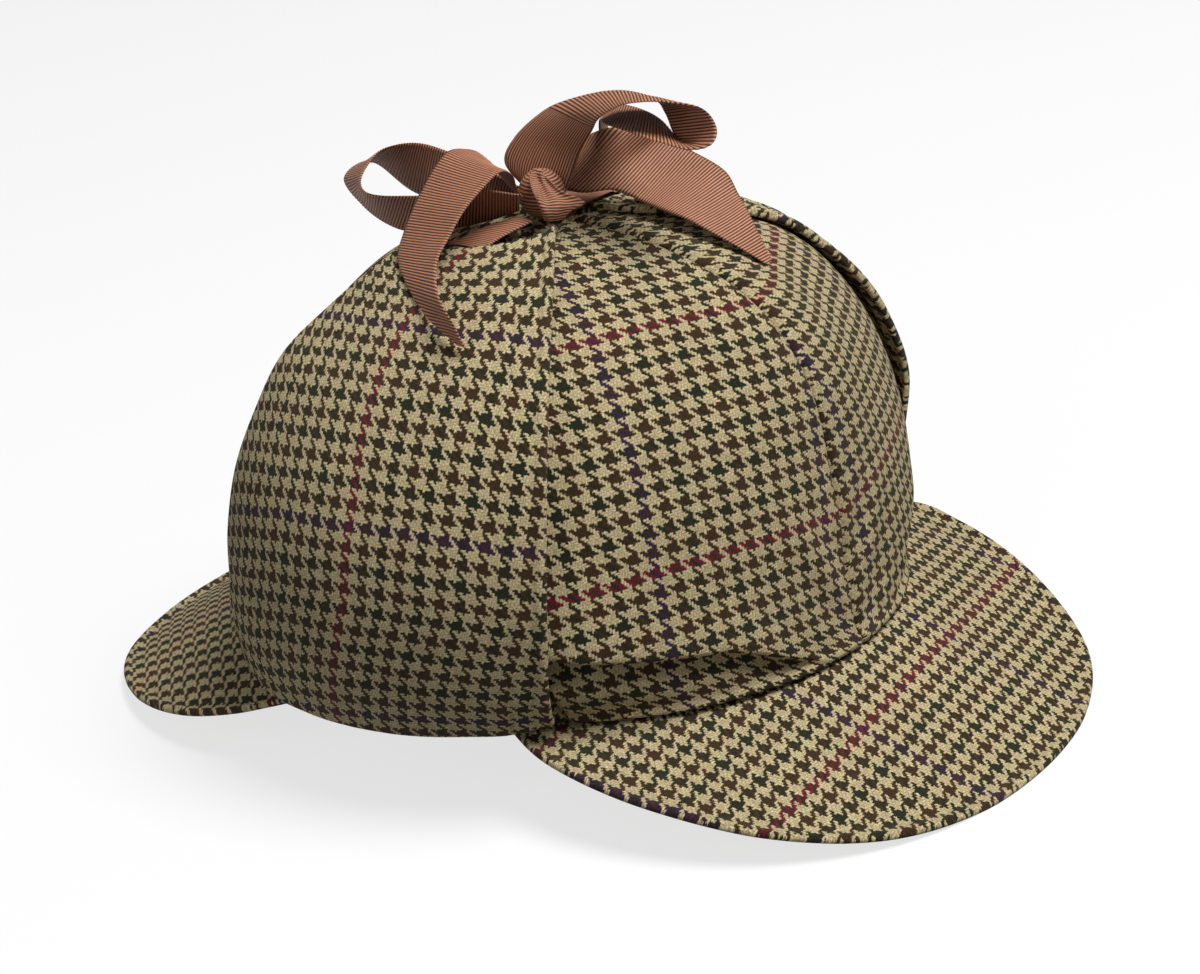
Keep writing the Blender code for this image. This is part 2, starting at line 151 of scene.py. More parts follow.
# Ear flaps: angle of the front edge, then reach and height at the front, middle and back. The
# left one's front edge lies 2 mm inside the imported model's at the fifth and sixth row, where the
# photograph shows it.
FLAPS = {
    RIGHT: np.array((
        (60.0, 103.0, 107.0, 112.0, 2.5, -6.0, -1.0),
        (60.0, 108.0, 112.0, 113.0, 14.0, 9.0, 12.0),
        (59.5, 110.5, 114.0, 112.5, 28.0, 27.0, 28.0),
        (59.0, 110.0, 113.5, 111.0, 44.0, 44.0, 44.0),
        (58.5, 106.0, 109.5, 106.5, 61.0, 61.0, 62.0),
        (58.0, 98.5, 101.5, 98.0, 78.0, 78.0, 79.0),
        (57.5, 87.0, 90.2, 88.0, 93.0, 93.0, 94.0),
        (57.0, 71.0, 75.8, 73.2, 106.0, 105.0, 105.5),
        (56.5, 51.0, 58.3, 59.0, 116.5, 115.0, 114.5),
        (56.5, 22.0, 37.0, 47.0, 124.5, 122.5, 120.5),
    )),
    LEFT: np.array((
        (60.0, 103.0, 107.0, 112.0, 2.5, -6.0, -1.0),
        (60.0, 110.0, 112.0, 113.0, 14.0, 9.0, 12.0),
        (59.5, 113.5, 114.0, 112.5, 28.0, 27.0, 28.0),
        (59.0, 114.5, 113.5, 111.0, 44.0, 44.0, 44.0),
        (58.5, 109.5, 109.0, 106.5, 61.0, 61.0, 62.0),
        (58.0, 100.5, 101.5, 98.0, 78.0, 78.0, 79.0),
        (57.5, 87.0, 89.5, 86.5, 93.0, 93.0, 94.0),
        (57.0, 71.0, 74.5, 71.0, 106.0, 105.0, 105.5),
        (48.0, 45.0, 57.5, 58.0, 116.5, 113.5, 113.0),
        (22.0, 10.0, 37.0, 48.0, 123.5, 121.0, 118.5),
    )),
}
FLAP_HEM_ROW = FLAPS[RIGHT][0]
# Hem of a flap: angle and height
FLAP_HEM = np.array((
    (60.0, 3.0),
    (64.0, 2.0),
    (68.0, 0.5),
    (75.0, -0.5),
    (84.0, -2.0),
    (94.0, -3.0),
    (106.0, -4.2),
    (114.0, -4.6),
    (121.0, -2.4),
    (125.5, 3.0),
))

# Ribbons: middle of the ribbon (x, y, z), turn and tilt of its width, and its width
LOOP_RIGHT = np.array((
    (-3.0, 4.0, 126.0, 260.0, -10.0, 12.0),
    (-1.7, 7.3, 130.7, 268.0, -16.0, 23.0),
    (0.9, 3.7, 140.6, 270.0, -5.0, 24.0),
    (0.4, -4.8, 149.1, 254.0, -3.0, 24.0),
    (-0.6, -11.8, 153.6, 238.0, 0.0, 24.0),
    (0.2, -20.4, 157.1, 226.0, 4.0, 24.0),
    (1.0, -28.0, 158.5, 219.0, 8.0, 24.0),
    (4.0, -36.0, 157.5, 222.0, 14.0, 24.0),
    (5.0, -43.0, 155.0, 242.0, 16.0, 24.0),
    (2.6, -48.0, 151.0, 248.0, 15.0, 24.0),
    (-0.4, -50.4, 148.0, 238.0, 13.0, 24.0),
    (-0.3, -45.6, 147.4, 224.0, 7.0, 24.0),
    (1.0, -38.0, 149.5, 216.0, 0.0, 24.0),
    (3.0, -28.0, 150.8, 210.0, -1.0, 24.0),
    (7.5, -17.0, 150.3, 206.0, -1.0, 21.0),
    (19.0, -5.0, 146.3, 199.0, -6.0, 13.0),
    (27.0, 2.0, 137.5, 200.0, -10.0, 9.0),
))
LOOP_LEFT = np.array((
    (-4.0, 10.0, 125.5, 236.0, 45.0, 8.0),
    (-4.0, 26.0, 127.0, 237.0, 54.0, 17.0),
    (-1.0, 50.0, 128.0, 238.0, 54.0, 24.0),
    (-7.0, 62.0, 133.0, 233.0, 26.0, 24.0),
    (-21.0, 61.0, 131.0, 237.0, 19.0, 24.0),
    (-29.0, 50.0, 127.0, 224.0, 28.0, 24.0),
    (-29.0, 35.0, 125.0, 236.0, 43.0, 22.0),
    (-27.0, 21.0, 127.0, 231.0, 52.0, 20.0),
    (-23.0, 10.0, 128.5, 226.0, 54.0, 16.0),
    (-16.5, 2.0, 128.5, 222.0, 50.0, 9.0),
))
TAIL_RIGHT = np.array((
    (9.0, 1.0, 133.0, 359.0, 42.0, 19.0),
    (9.0, -3.0, 135.0, 334.0, 43.0, 22.0),
    (10.0, -7.0, 135.0, 327.0, 36.0, 26.0),
    (14.0, -11.0, 133.0, 332.0, 34.0, 25.0),
    (19.0, -15.0, 132.0, 348.0, 27.0, 24.0),
    (21.0, -19.0, 130.0, 353.0, 24.0, 24.0),
    (22.0, -24.0, 128.0, 351.0, 24.0, 24.0),
    (21.5, -34.0, 125.0, 345.0, 17.0, 24.0),
    (20.5, -41.0, 121.3, 347.0, 10.0, 20.0),
    (18.5, -50.3, 116.0, 345.0, 12.0, 12.0),
    (19.0, -60.0, 107.5, 350.0, 5.0, 3.0),
))
TAIL_LEFT = np.array((
    (-12.0, 6.0, 130.0, 240.0, -15.0, 8.0),
    (-12.0, 11.5, 135.0, 244.0, -12.0, 20.0),
    (-15.0, 13.0, 139.0, 250.0, -7.0, 24.0),
    (-24.0, 13.0, 141.0, 258.0, -4.0, 24.0),
    (-37.0, 14.0, 133.5, 256.0, 5.0, 24.0),
    (-46.0, 14.0, 126.0, 253.0, 9.0, 24.0),
    (-53.0, 12.0, 121.5, 249.0, 10.0, 24.0),
    (-62.0, 4.0, 118.0, 243.0, 9.0, 24.0),
    (-69.0, -5.0, 115.0, 242.0, 9.0, 22.0),
    (-73.0, -13.0, 111.0, 250.0, 7.0, 12.0),
    (-74.0, -19.0, 107.0, 250.0, 0.0, 3.0),
))
TIE_RIGHT = np.array((
    (-34.0, 9.0, 119.3, 270.0, 0.0, 12.0),
    (-26.0, 7.0, 121.3, 270.0, 0.0, 11.0),
    (-17.0, 0.5, 123.8, 270.0, 0.0, 8.0),
))
TIE_LEFT = np.array((
    (33.0, 10.0, 118.5, 270.0, 0.0, 20.0),
    (18.0, 5.0, 120.5, 270.0, 0.0, 14.0),
    (1.0, -1.0, 122.0, 270.0, 0.0, 8.0),
))
RIBBONS = {
    "ribbon_loop_right": LOOP_RIGHT,
    "ribbon_loop_left": LOOP_LEFT,
    "ribbon_tail_right": TAIL_RIGHT,
    "ribbon_tail_left": TAIL_LEFT,
    "ribbon_tie_right": TIE_RIGHT,
    "ribbon_tie_left": TIE_LEFT,
}
KNOT_MIDDLE = (-9.5, -6.5, 129.5)

# Cloth

THREAD = 0.76                # width of one thread
REPEAT = 8                   # threads in one light and one dark stripe
MAROON_EVERY = 12            # repeats between two overcheck stripes
PURPLE_EVERY = 10
RIBBON_WIDTH = 24.0
RIBBON_THICKNESS = 0.6
RIB_PITCH = 0.9


# Curves through tables

TINY = 1e-9


def hermite(start, end, start_slope, end_slope, share):
    square = share * share
    cube = square * share
    return (
        start * (2 * cube - 3 * square + 1)
        + start_slope * (cube - 2 * square + share)
        + end * (3 * square - 2 * cube)
        + end_slope * (cube - square)
    )


def along(rows, share):
    """Every column of a table at a share of the way from its first row to its last."""
    last = len(rows) - 1
    place = np.clip(share, 0.0, 1.0) * last
    index = np.minimum(place.astype(int), last - 1)
    part = (place - index)[..., None]

    def value(at):
        return rows[np.clip(at, 0, last)]
    start_slope = (value(index + 1) - value(index - 1)) / 2
    end_slope = (value(index + 2) - value(index)) / 2
    return hermite(value(index), value(index + 1), start_slope, end_slope, part)


def smooth(rows, column, value):
    """Cubic curve through one column of a table, read where its first column has this value."""
    keys = rows[:, 0]
    values = rows[:, column]
    last = len(rows) - 1
    value = np.clip(value, keys[0], keys[last])
    index = np.clip(np.searchsorted(keys, value) - 1, 0, last - 1)
    span = keys[index + 1] - keys[index]

    def slope(at):
        before = np.maximum(at - 1, 0)
        after = np.minimum(at + 1, last)
        return (values[after] - values[before]) / (keys[after] - keys[before])
    share = (value - keys[index]) / span
    slopes = slope(index) * span, slope(index + 1) * span
    return hermite(values[index], values[index + 1], *slopes, share)


def ease(value):
    value = np.clip(value, 0.0, 1.0)
    return value * value * (3 - 2 * value)


def bell(value, width):
    return np.exp(-(value / width) ** 2)


def stack(x, y, z):
    return np.stack(np.broadcast_arrays(x, y, z), axis=-1).astype(float)


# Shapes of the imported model, for grids of across and up

def near_seam(angle, spacing, width):
    """1 at the seams that lie this far apart, fading out to both sides of each."""
    return bell((angle + spacing / 2) % spacing - spacing / 2, width)


def crown_point(angle, share):
    row = along(CROWN, share)
    turn = np.radians(angle)
    x = row[..., 2] * np.sin(turn)
    y = -np.where(np.cos(turn) > 0, row[..., 1], row[..., 3]) * np.cos(turn)
    dip = SEAM_DIP * near_seam(angle, GORE_SPAN, SEAM_DIP_ANGLE)
    dip = dip * ease(share / SEAM_DIP_FADE_LOW) * ease((1 - share) / SEAM_DIP_FADE_HIGH)
    ridge = row[..., 4] * near_seam(angle, FULL_TURN, RIDGE_ANGLE)
    scale = 1 + (ridge - dip) / np.maximum(np.hypot(x, y), GORE_TIP_REACH)
    return stack(x * scale, y * scale, SEAM_HEIGHT + row[..., 0])


def gore_point(number):
    def point(across, up):
        return crown_point(-GORE_SPAN * (number + across), up)
    return point


def peak_point(halves, facing):
    """A peak's upper face."""
    def point(across, out):
        x = 0.0
        y = 0.0
        height = 0.0
        for side, rows in halves.items():
            angle = rows[-1, 0] * (2 * across - 1)
            reach = smooth(rows, 1, np.abs(angle))
            drop = smooth(rows, 2, np.abs(angle))
            depth = CROWN[0, 1] if facing < 0 else CROWN[0, 3]
            width = CROWN[0, 2]
            turn = np.radians(angle)
            out_x = np.sin(turn) / width
            out_y = facing * np.cos(turn) / depth
            length = np.hypot(out_x, out_y)
            rim = np.minimum(PEAK_RIM, reach / 2)
            distance = -PEAK_TUCK + (reach + PEAK_TUCK) * out
            sloped = np.clip(distance / (reach - rim), 0.0, 1.0)
            here = (across < 0.5) == (side == RIGHT)
            x = np.where(here, width * np.sin(turn) + out_x / length * distance, x)
            y = np.where(here, facing * depth * np.cos(turn) + out_y / length * distance, y)
            height = np.where(here, SEAM_HEIGHT - GAP - drop * sloped, height)
        return stack(x, y, height)
    return point


def bow_curve(start, middle, end, share):
    bend = 4 * middle - 2 * start - 2 * end
    return start + (end - start) * share + bend * share * (1 - share)


def flap_outer(side, across, up):
    row = along(FLAPS[side], up)
    angle = row[..., 0] + (FLAP_BACK_ANGLE - row[..., 0]) * across
    reach = bow_curve(row[..., 1], row[..., 2], row[..., 3], across)
    height = bow_curve(row[..., 4], row[..., 5], row[..., 6], across)
    low = FLAP_HEM_ROW
    plain = bow_curve(low[4], low[5], low[6], across)
    height = height + (smooth(FLAP_HEM, 1, angle) - plain) * (1 - ease(up / FLAP_HEM_SPREAD))
    turn = np.radians(angle)
    return stack(side * reach * np.sin(turn), -reach * np.cos(turn), SEAM_HEIGHT + height)


def flap_point(side):
    def point(across, up):
        upper = flap_outer(side, across, (up - FLAP_FOLD_SHARE) / (1 - FLAP_FOLD_SHARE))
        hem = flap_outer(side, across, np.zeros_like(up))
        angle = FLAP_HEM_ROW[0] + (FLAP_BACK_ANGLE - FLAP_HEM_ROW[0]) * across
        reach = np.hypot(hem[..., 0], hem[..., 1])
        sewn = ease((angle - FLAP_SEAM_START) / FLAP_SEAM_EASE + 1)
        sewn = sewn * ease((FLAP_SEAM_END - angle) / FLAP_SEAM_EASE + 1)
        inward = FLAP_LIP + (reach - FLAP_SEAM_REACH - FLAP_LIP) * sewn
        rise = (SEAM_HEIGHT - FLAP_SEAM_BELOW - hem[..., 2]) * sewn
        share = 1 - up / FLAP_FOLD_SHARE
        sag = FLAP_FOLD_DEPTH * np.sin(math.pi * np.clip(share * FLAP_FOLD_BIAS, 0.0, 1.0)) * sewn
        scale = 1 - inward * share / reach
        height = hem[..., 2] + rise * share ** FLAP_FOLD_POWER - sag
        under = stack(hem[..., 0] * scale, hem[..., 1] * scale, height)
        return np.where((up >= FLAP_FOLD_SHARE)[..., None], upper, under)
    return point


def ribbon_point(rows):
    def point(across, up):
        row = along(rows, up)
        turn = np.radians(row[..., 3])
        tilt = np.radians(row[..., 4])
        half = (row[..., 5] * (across - 0.5))[..., None]
        width = stack(np.cos(tilt) * np.cos(turn), np.cos(tilt) * np.sin(turn), np.sin(tilt))
        middle = stack(row[..., 0], row[..., 1], SEAM_HEIGHT + row[..., 2])
        return middle + width * half
    return point


# Grids

# Grid lines over a rounded edge, and the first one past it, in steps of the edge's width
EDGE_STEPS = (0.0, 0.06, 0.22, 0.5, 0.85)
INNER_STEP = 1.3
NOISE_SHIFT = (7.3, 3.1, 5.7)


def settle(places):
    """The whole hat leans forward a little, so that both peaks rest."""
    turn = np.array(Matrix.Rotation(math.radians(LEAN), 3, "X"))
    return places @ turn.T


def spread(count, edge, size):
    """Shares from 0 to 1, with close steps over the rounded edges at both ends."""
    step = edge / size
    first = np.array(EDGE_STEPS) * step
    inner = np.linspace(INNER_STEP * step, 1 - INNER_STEP * step, count)
    return np.concatenate((first, inner, 1 - first[::-1]))


def steps(places, axis):
    """Distance from the first line of a grid to each of its points, along one way of it."""
    pieces = np.linalg.norm(np.diff(places, axis=axis), axis=-1)
    start = np.zeros_like(np.take(pieces, [0], axis=axis))
    return np.concatenate((start, np.cumsum(pieces, axis=axis)), axis=axis)


def normals(places):
    across = np.gradient(places, axis=1)
    up = np.gradient(places, axis=0)
    face = np.cross(across, up)
    return face / np.maximum(np.linalg.norm(face, axis=-1, keepdims=True), TINY)


def field(places, size, seed):
    """Smooth noise from -1 to 1 over a grid of places."""
    flat = places.reshape(-1, 3) / size + seed * np.array(NOISE_SHIFT)
    values = np.array([noise.noise(place) for place in flat.tolist()])
    return values.reshape(places.shape[:-1])


def waves(places, table, seed):
    """Gentle unevenness of the cloth, from a table of height, size and seed."""
    return sum(height * field(places, size, seed + more) for height, size, more in table)


def lines(distance, table):
    """Raised and sunken lines, from a table of height, distance and width."""
    return sum(height * bell(distance - place, width) for height, place, width in table)


class Sheet:
    """A panel of cloth on a grid: its face, its outer side and its distances from its edges."""

    def __init__(self, point, across, up, toward):
        self.across, self.up = np.meshgrid(across, up)
        self.face = point(self.across, self.up)
        self.outward = normals(self.face)
        self.turned = np.sum(self.outward * toward(self.face)) < 0
        if self.turned:
            self.outward = -self.outward
        self.from_start = steps(self.face, 1)
        self.from_end = self.from_start[:, -1:] - self.from_start
        self.from_low = steps(self.face, 0)
        self.from_high = self.from_low[-1:, :] - self.from_low

    def edge(self):
        return np.minimum(
            np.minimum(self.from_start, self.from_end), np.minimum(self.from_low, self.from_high)
        )

    def arcs(self, low=0.0):
        """Distances over the surface: u from the middle column, v up it from the line at low."""
        middle = int(np.argmin(np.abs(self.across[0] - 0.5)))
        start = int(np.argmin(np.abs(self.up[:, 0] - low)))
        u = self.from_start - self.from_start[:, middle:middle + 1]
        v = self.from_low[:, middle:middle + 1] - self.from_low[start, middle]
        return u, np.broadcast_to(v, u.shape)

    def thick(self, wall, relief):
        """Front and back grid of the panel, with rounded edges, both moved out by the relief."""
        half = round_edges(self.edge(), wall)[..., None]
        middle = self.face - self.outward * (wall / 2 - relief[..., None])
        front = middle + self.outward * half
        back = middle - self.outward * half
        front[[0, -1]] = back[[0, -1]] = middle[[0, -1]]
        front[:, [0, -1]] = back[:, [0, -1]] = middle[:, [0, -1]]
        return front, back


def from_middle(places):
    return places - np.array((0.0, 0.0, SEAM_HEIGHT))


def upward(places):
    return np.array((0.0, 0.0, 1.0))


def round_edges(distance, wall):
    """Half the thickness of a panel near its folded edge."""
    radius = wall / 2
    near = np.clip(distance / radius, 0.0, 1.0)
    return radius * np.sqrt(np.clip(1 - (1 - near) ** 2, 0.0, 1.0))


def make_mesh(name, front, back, cloth, material, turned, cloth_back=None):
    """Closed mesh between a front and a back grid that meet along their edges."""
    cloth_back = cloth if cloth_back is None else cloth_back
    rows, columns = front.shape[:2]
    front_index = np.arange(rows * columns).reshape(rows, columns)
    back_index = front_index.copy()
    inner = rows * columns + np.arange((rows - 2) * (columns - 2)).reshape(rows - 2, columns - 2)
    back_index[1:-1, 1:-1] = inner
    places = settle(np.concatenate((front.reshape(-1, 3), back[1:-1, 1:-1].reshape(-1, 3))))
    places[:, 2] = np.maximum(places[:, 2], 0.0)
    faces = []
    uvs = []
    for index, place, flip in ((front_index, cloth, turned), (back_index, cloth_back, not turned)):
        corners = [index[:-1, :-1], index[:-1, 1:], index[1:, 1:], index[1:, :-1]]
        lines = [place[:-1, :-1], place[:-1, 1:], place[1:, 1:], place[1:, :-1]]
        if flip:
            corners.reverse()
            lines.reverse()
        faces.append(np.stack(corners, axis=-1).reshape(-1, 4))
        uvs.append(np.stack(lines, axis=-2).reshape(-1, 2))
    mesh = bpy.data.meshes.new(name)
    mesh.from_pydata((places * MM).tolist(), [], np.concatenate(faces).tolist())
    layer = mesh.uv_layers.new(name="cloth")
    layer.data.foreach_set("uv", (np.concatenate(uvs) * MM).ravel())
    mesh.materials.append(material)
    mesh.shade_smooth()
    item = bpy.data.objects.new(name, mesh)
    bpy.context.scene.collection.objects.link(item)
    return item


def finish_piece(item, node):
    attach(item, "root")
    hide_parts(node)
    return item


# Materials

class Graph:
    """Short calls that add nodes to one material."""

    def __init__(self, name):
        self.material = bpy.data.materials.new(name)
        self.material.use_nodes = True
        self.tree = self.material.node_tree
        self.shader = self.tree.nodes["Principled BSDF"]

    def node(self, kind, **settings):
        made = self.tree.nodes.new(kind)
        for key, value in settings.items():
            setattr(made, key, value)
        return made

    def put(self, socket, value):
        if isinstance(value, bpy.types.NodeSocket):
            self.tree.links.new(value, socket)
        elif isinstance(value, tuple) and len(value) == 3 and socket.type == "RGBA":
            socket.default_value = (*value, 1.0)
        else:
            socket.default_value = value

    def math(self, operation, *values, clamp=False):
        made = self.node("ShaderNodeMath", operation=operation, use_clamp=clamp)
        for socket, value in zip(made.inputs, values):
            self.put(socket, value)
        return made.outputs[0]

    def scaled(self, value, gain, base):
        return self.math("ADD", self.math("MULTIPLY", value, gain), base)

    def centred(self, value):
        return self.math("SUBTRACT", value, 0.5)

    def mix(self, share, first, second):
        made = self.node("ShaderNodeMix", data_type="RGBA")
        self.put(made.inputs["Factor"], share)
        self.put(made.inputs["A"], first)
        self.put(made.inputs["B"], second)
        return made.outputs["Result"]

    def tint(self, color, amount):
        """Colour times a grey amount."""
        made = self.node("ShaderNodeMix", data_type="RGBA", blend_type="MULTIPLY")
        self.put(made.inputs["Factor"], 1.0)
        self.put(made.inputs["A"], color)
        grey = self.node("ShaderNodeCombineColor")
        for socket in grey.inputs:
            self.put(socket, amount)
        self.put(made.inputs["B"], grey.outputs[0])
        return made.outputs["Result"]

    def vector(self, x, y, z=0.0):
        made = self.node("ShaderNodeCombineXYZ")
        for socket, value in zip(made.inputs, (x, y, z)):
            self.put(socket, value)
        return made.outputs[0]

    def noise(self, vector, scale, detail=2.0, roughness=0.5):
        made = self.node("ShaderNodeTexNoise")
        self.put(made.inputs["Vector"], vector)
        made.inputs["Scale"].default_value = scale
        made.inputs["Detail"].default_value = detail
        made.inputs["Roughness"].default_value = roughness
        return made.outputs["Fac"]

    def fleck(self, color, vector, scale, amount):
        """Small spots of other colours, as in spun wool."""
        spots = self.node("ShaderNodeTexNoise")
        self.put(spots.inputs["Vector"], vector)
        spots.inputs["Scale"].default_value = scale
        spots.inputs["Detail"].default_value = 2.0
        made = self.node("ShaderNodeMix", data_type="RGBA", blend_type="OVERLAY")
        self.put(made.inputs["Factor"], amount)
        self.put(made.inputs["A"], color)
        self.put(made.inputs["B"], spots.outputs["Color"])
        return made.outputs["Result"]

    def bump(self, height, strength, distance):
        made = self.node("ShaderNodeBump")
        made.inputs["Strength"].default_value = strength
        made.inputs["Distance"].default_value = distance
        self.put(made.inputs["Height"], height)
        self.put(self.shader.inputs["Normal"], made.outputs[0])

    def surface(self, settings):
        for key, value in settings.items():
            self.shader.inputs[key].default_value = value

    def cloth(self):
        layer = self.node("ShaderNodeUVMap", uv_map="cloth")
        parts = self.node("ShaderNodeSeparateXYZ")
        self.put(parts.inputs[0], layer.outputs[0])
        return layer.outputs[0], parts.outputs[0], parts.outputs[1]


def linear(red, green, blue):
    """Shader colour for a screen colour, by the sRGB curve."""
    return tuple(
        part / 255 / 12.92 if part / 255 <= 0.04045 else ((part / 255 + 0.055) / 1.055) ** 2.4
        for part in (red, green, blue)
    )


CREAM = linear(211, 193, 148)
GREEN = linear(34, 40, 25)
BROWN = linear(66, 43, 25)
MAROON = linear(112, 22, 44)
PURPLE = linear(56, 30, 66)


# How the yarns of the tweed stray, in threads, and in waves per metre. The rows read the noise
# at another depth than the columns.
WANDER = 2.0
WANDER_SCALE = 70.0
WANDER_DEPTH = 0.3
FUZZ = 1.9
FUZZ_SCALE = 1900.0
FUZZ_DEPTH = 0.7
# Streaks of lighter and darker wool: how often they come across and along a yarn
STREAK_ACROSS = 1.1
STREAK_ALONG = 0.22
STREAK_GAIN = 1.1
STREAK_LOW = 0.42
FLECK = 0.38
FLECK_SCALE = 1500.0
# A yarn's height: its bow from where it dips to where it comes up, and the rest
YARN_BOW = 0.6
YARN_LEVEL = 0.4
# Painted shade in the hollows between the yarns, by the height of the yarn there, and the tone of
# worn patches
PAINTED_HOLLOW_SHADE_GAIN = 0.62
PAINTED_HOLLOW_SHADE_LOW = 0.42
WORN_SCALE = 22.0
WORN_GAIN = 0.24
WORN_LOW = 0.88
HAIR = 1.8
HAIR_SCALE = 3200.0
TWEED_BUMP = (0.8, 0.00034)
TWEED_SURFACE = {
    "Roughness": 0.95,
    "Specular IOR Level": 0.08,
    "Sheen Weight": 0.08,
    "Sheen Roughness": 0.6,
    "Sheen Tint": (0.9, 0.8, 0.6, 1.0),
}


def tweed_material(name, twill_start):
    """Woven cloth; its twill lines start at this thread of the four in each step of the weave."""
    g = Graph(name)
    where, u, v = g.cloth()
    pitch = THREAD * MM

    def threads(place, wander_place, fuzz_place):
        wander = g.centred(g.noise(wander_place, WANDER_SCALE, 1.0))
        fuzz = g.centred(g.noise(fuzz_place, FUZZ_SCALE, 3.0))
        shifted = g.math("ADD", g.math("DIVIDE", place, pitch), g.math("MULTIPLY", wander, WANDER))
        return g.math("ADD", shifted, g.math("MULTIPLY", fuzz, FUZZ))
    x = threads(u, where, where)
    y = threads(v, g.vector(v, u, WANDER_DEPTH), g.vector(v, u, FUZZ_DEPTH))
    column = g.math("FLOOR", x)
    row = g.math("FLOOR", y)
    in_column = g.math("SUBTRACT", x, column)
    in_row = g.math("SUBTRACT", y, row)

    def stripes(number, every, special, shade):
        group = g.math("FLOOR", g.math("DIVIDE", number, float(REPEAT)))
        place = g.math("SUBTRACT", number, g.math("MULTIPLY", group, float(REPEAT)))
        dark = g.math("GREATER_THAN", place, REPEAT / 2 - 0.5)
        brown = g.math("GREATER_THAN", g.math("FLOORED_MODULO", group, 2.0), 0.5)
        is_special = g.math("LESS_THAN", g.math("FLOORED_MODULO", group, float(every)), 0.5)
        color = g.mix(is_special, g.mix(brown, GREEN, BROWN), special)
        return g.tint(g.mix(dark, CREAM, color), shade)

    def melange(across, along_yarn):
        place = g.vector(
            g.math("MULTIPLY", across, STREAK_ACROSS), g.math("MULTIPLY", along_yarn, STREAK_ALONG)
        )
        return g.scaled(g.noise(place, 1.0, 3.0, 0.7), STREAK_GAIN, STREAK_LOW)
    warp = stripes(column, MAROON_EVERY, MAROON, melange(x, y))
    weft = stripes(row, PURPLE_EVERY, PURPLE, melange(y, x))
    shifted = g.math("ADD", g.math("ADD", column, row), twill_start)
    phase = g.math("FLOORED_MODULO", shifted, 4.0)
    weft_over = g.math("GREATER_THAN", phase, 1.5)
    color = g.fleck(g.mix(weft_over, warp, weft), where, FLECK_SCALE, FLECK)

    def yarn_height(across, phase_start, lengthwise):
        """Height of a yarn that lies on top for two steps of the weave."""
        aside = g.math("ABSOLUTE", g.math("SUBTRACT", g.math("MULTIPLY", across, 2.0), 1.0))
        cross = g.math("SUBTRACT", 1.0, g.math("POWER", aside, 2.0))
        passed = g.math("ADD", g.math("SUBTRACT", phase, phase_start), lengthwise)
        bow = g.math("SINE", g.math("MULTIPLY", g.math("DIVIDE", passed, 2.0), math.pi))
        return g.math("MULTIPLY", cross, g.scaled(bow, YARN_BOW, YARN_LEVEL))
    warp_over = g.math("SUBTRACT", 1.0, weft_over)
    height = g.math(
        "ADD",
        g.math("MULTIPLY", yarn_height(in_column, 0.0, in_row), warp_over),
        g.math("MULTIPLY", yarn_height(in_row, 2.0, in_column), weft_over),
    )
    # Painted shade: the colour darkens in the hollows between the yarns, where a yarn dips
    depth = g.scaled(height, PAINTED_HOLLOW_SHADE_GAIN, PAINTED_HOLLOW_SHADE_LOW)
    worn = g.scaled(g.noise(where, WORN_SCALE, 2.0), WORN_GAIN, WORN_LOW)
    g.put(g.shader.inputs["Base Color"], g.tint(g.tint(color, depth), worn))
    hair = g.noise(where, HAIR_SCALE, 4.0, 0.7)
    g.bump(g.math("ADD", height, g.math("MULTIPLY", hair, HAIR)), *TWEED_BUMP)
    g.surface(TWEED_SURFACE)
    return g.material


# Painted light and shade across the grosgrain ribs: a lit colour on the rib tops and a shaded
# colour in the grooves
RIBBON_GROOVE_PAINTED_SHADE = linear(40, 18, 10)
RIBBON_RIB_PAINTED_LIGHT = linear(184, 126, 95)


# How narrowly the painted light gathers on the rib tops
RIB_SHARPNESS = 2.0
# Fibres of the ribbon: how often they come across and along it, per metre
FIBRE_ACROSS = 400.0
FIBRE_ALONG = 2600.0
FIBRE_GAIN = 0.6
FIBRE_LOW = 0.7
CROSS_THREAD = 0.28
PATCH_SCALE = 60.0
PATCH_GAIN = 0.3
PATCH_LOW = 0.85
CROSS_RELIEF = 0.3
FIBRE_RELIEF = 0.5
RIBBON_BUMP = (0.6, 0.00012)
RIBBON_SURFACE = {
    "Roughness": 0.62,
    "Specular IOR Level": 0.3,
    "Sheen Weight": 0.06,
    "Sheen Roughness": 0.4,
    "Sheen Tint": (1.0, 0.75, 0.6, 1.0),
}


def ribbon_material():
    g = Graph("hat_ribbon")
    where, u, v = g.cloth()

    def ridges(place, pitch):
        return g.math("ABSOLUTE", g.math("SINE", g.math("MULTIPLY", place, math.pi / pitch)))
    rib = ridges(v, RIB_PITCH * MM)
    cross = ridges(u, CROSS_THREAD * MM)
    along_fibre = g.vector(g.math("MULTIPLY", u, FIBRE_ACROSS), g.math("MULTIPLY", v, FIBRE_ALONG))
    fibre = g.noise(along_fibre, 1.0, 3.0, 0.6)
    # Painted shade in the grooves between the ribs and painted light on their tops, over the ribs
    # of the geometry
    color = g.mix(g.math("POWER", rib, RIB_SHARPNESS), RIBBON_GROOVE_PAINTED_SHADE, RIBBON_RIB_PAINTED_LIGHT)
    shade = g.scaled(fibre, FIBRE_GAIN, FIBRE_LOW)
    patches = g.scaled(g.noise(where, PATCH_SCALE, 2.0), PATCH_GAIN, PATCH_LOW)
    g.put(g.shader.inputs["Base Color"], g.tint(color, g.math("MULTIPLY", shade, patches)))
    raised = g.math("MULTIPLY", cross, CROSS_RELIEF)
    g.bump(g.math("ADD", raised, g.math("MULTIPLY", fibre, FIBRE_RELIEF)), *RIBBON_BUMP)
    g.surface(RIBBON_SURFACE)
    return g.material


# Pieces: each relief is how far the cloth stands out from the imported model's surface

STRIPE = 4.56                # from the start of a repeat to the middle of its dark threads

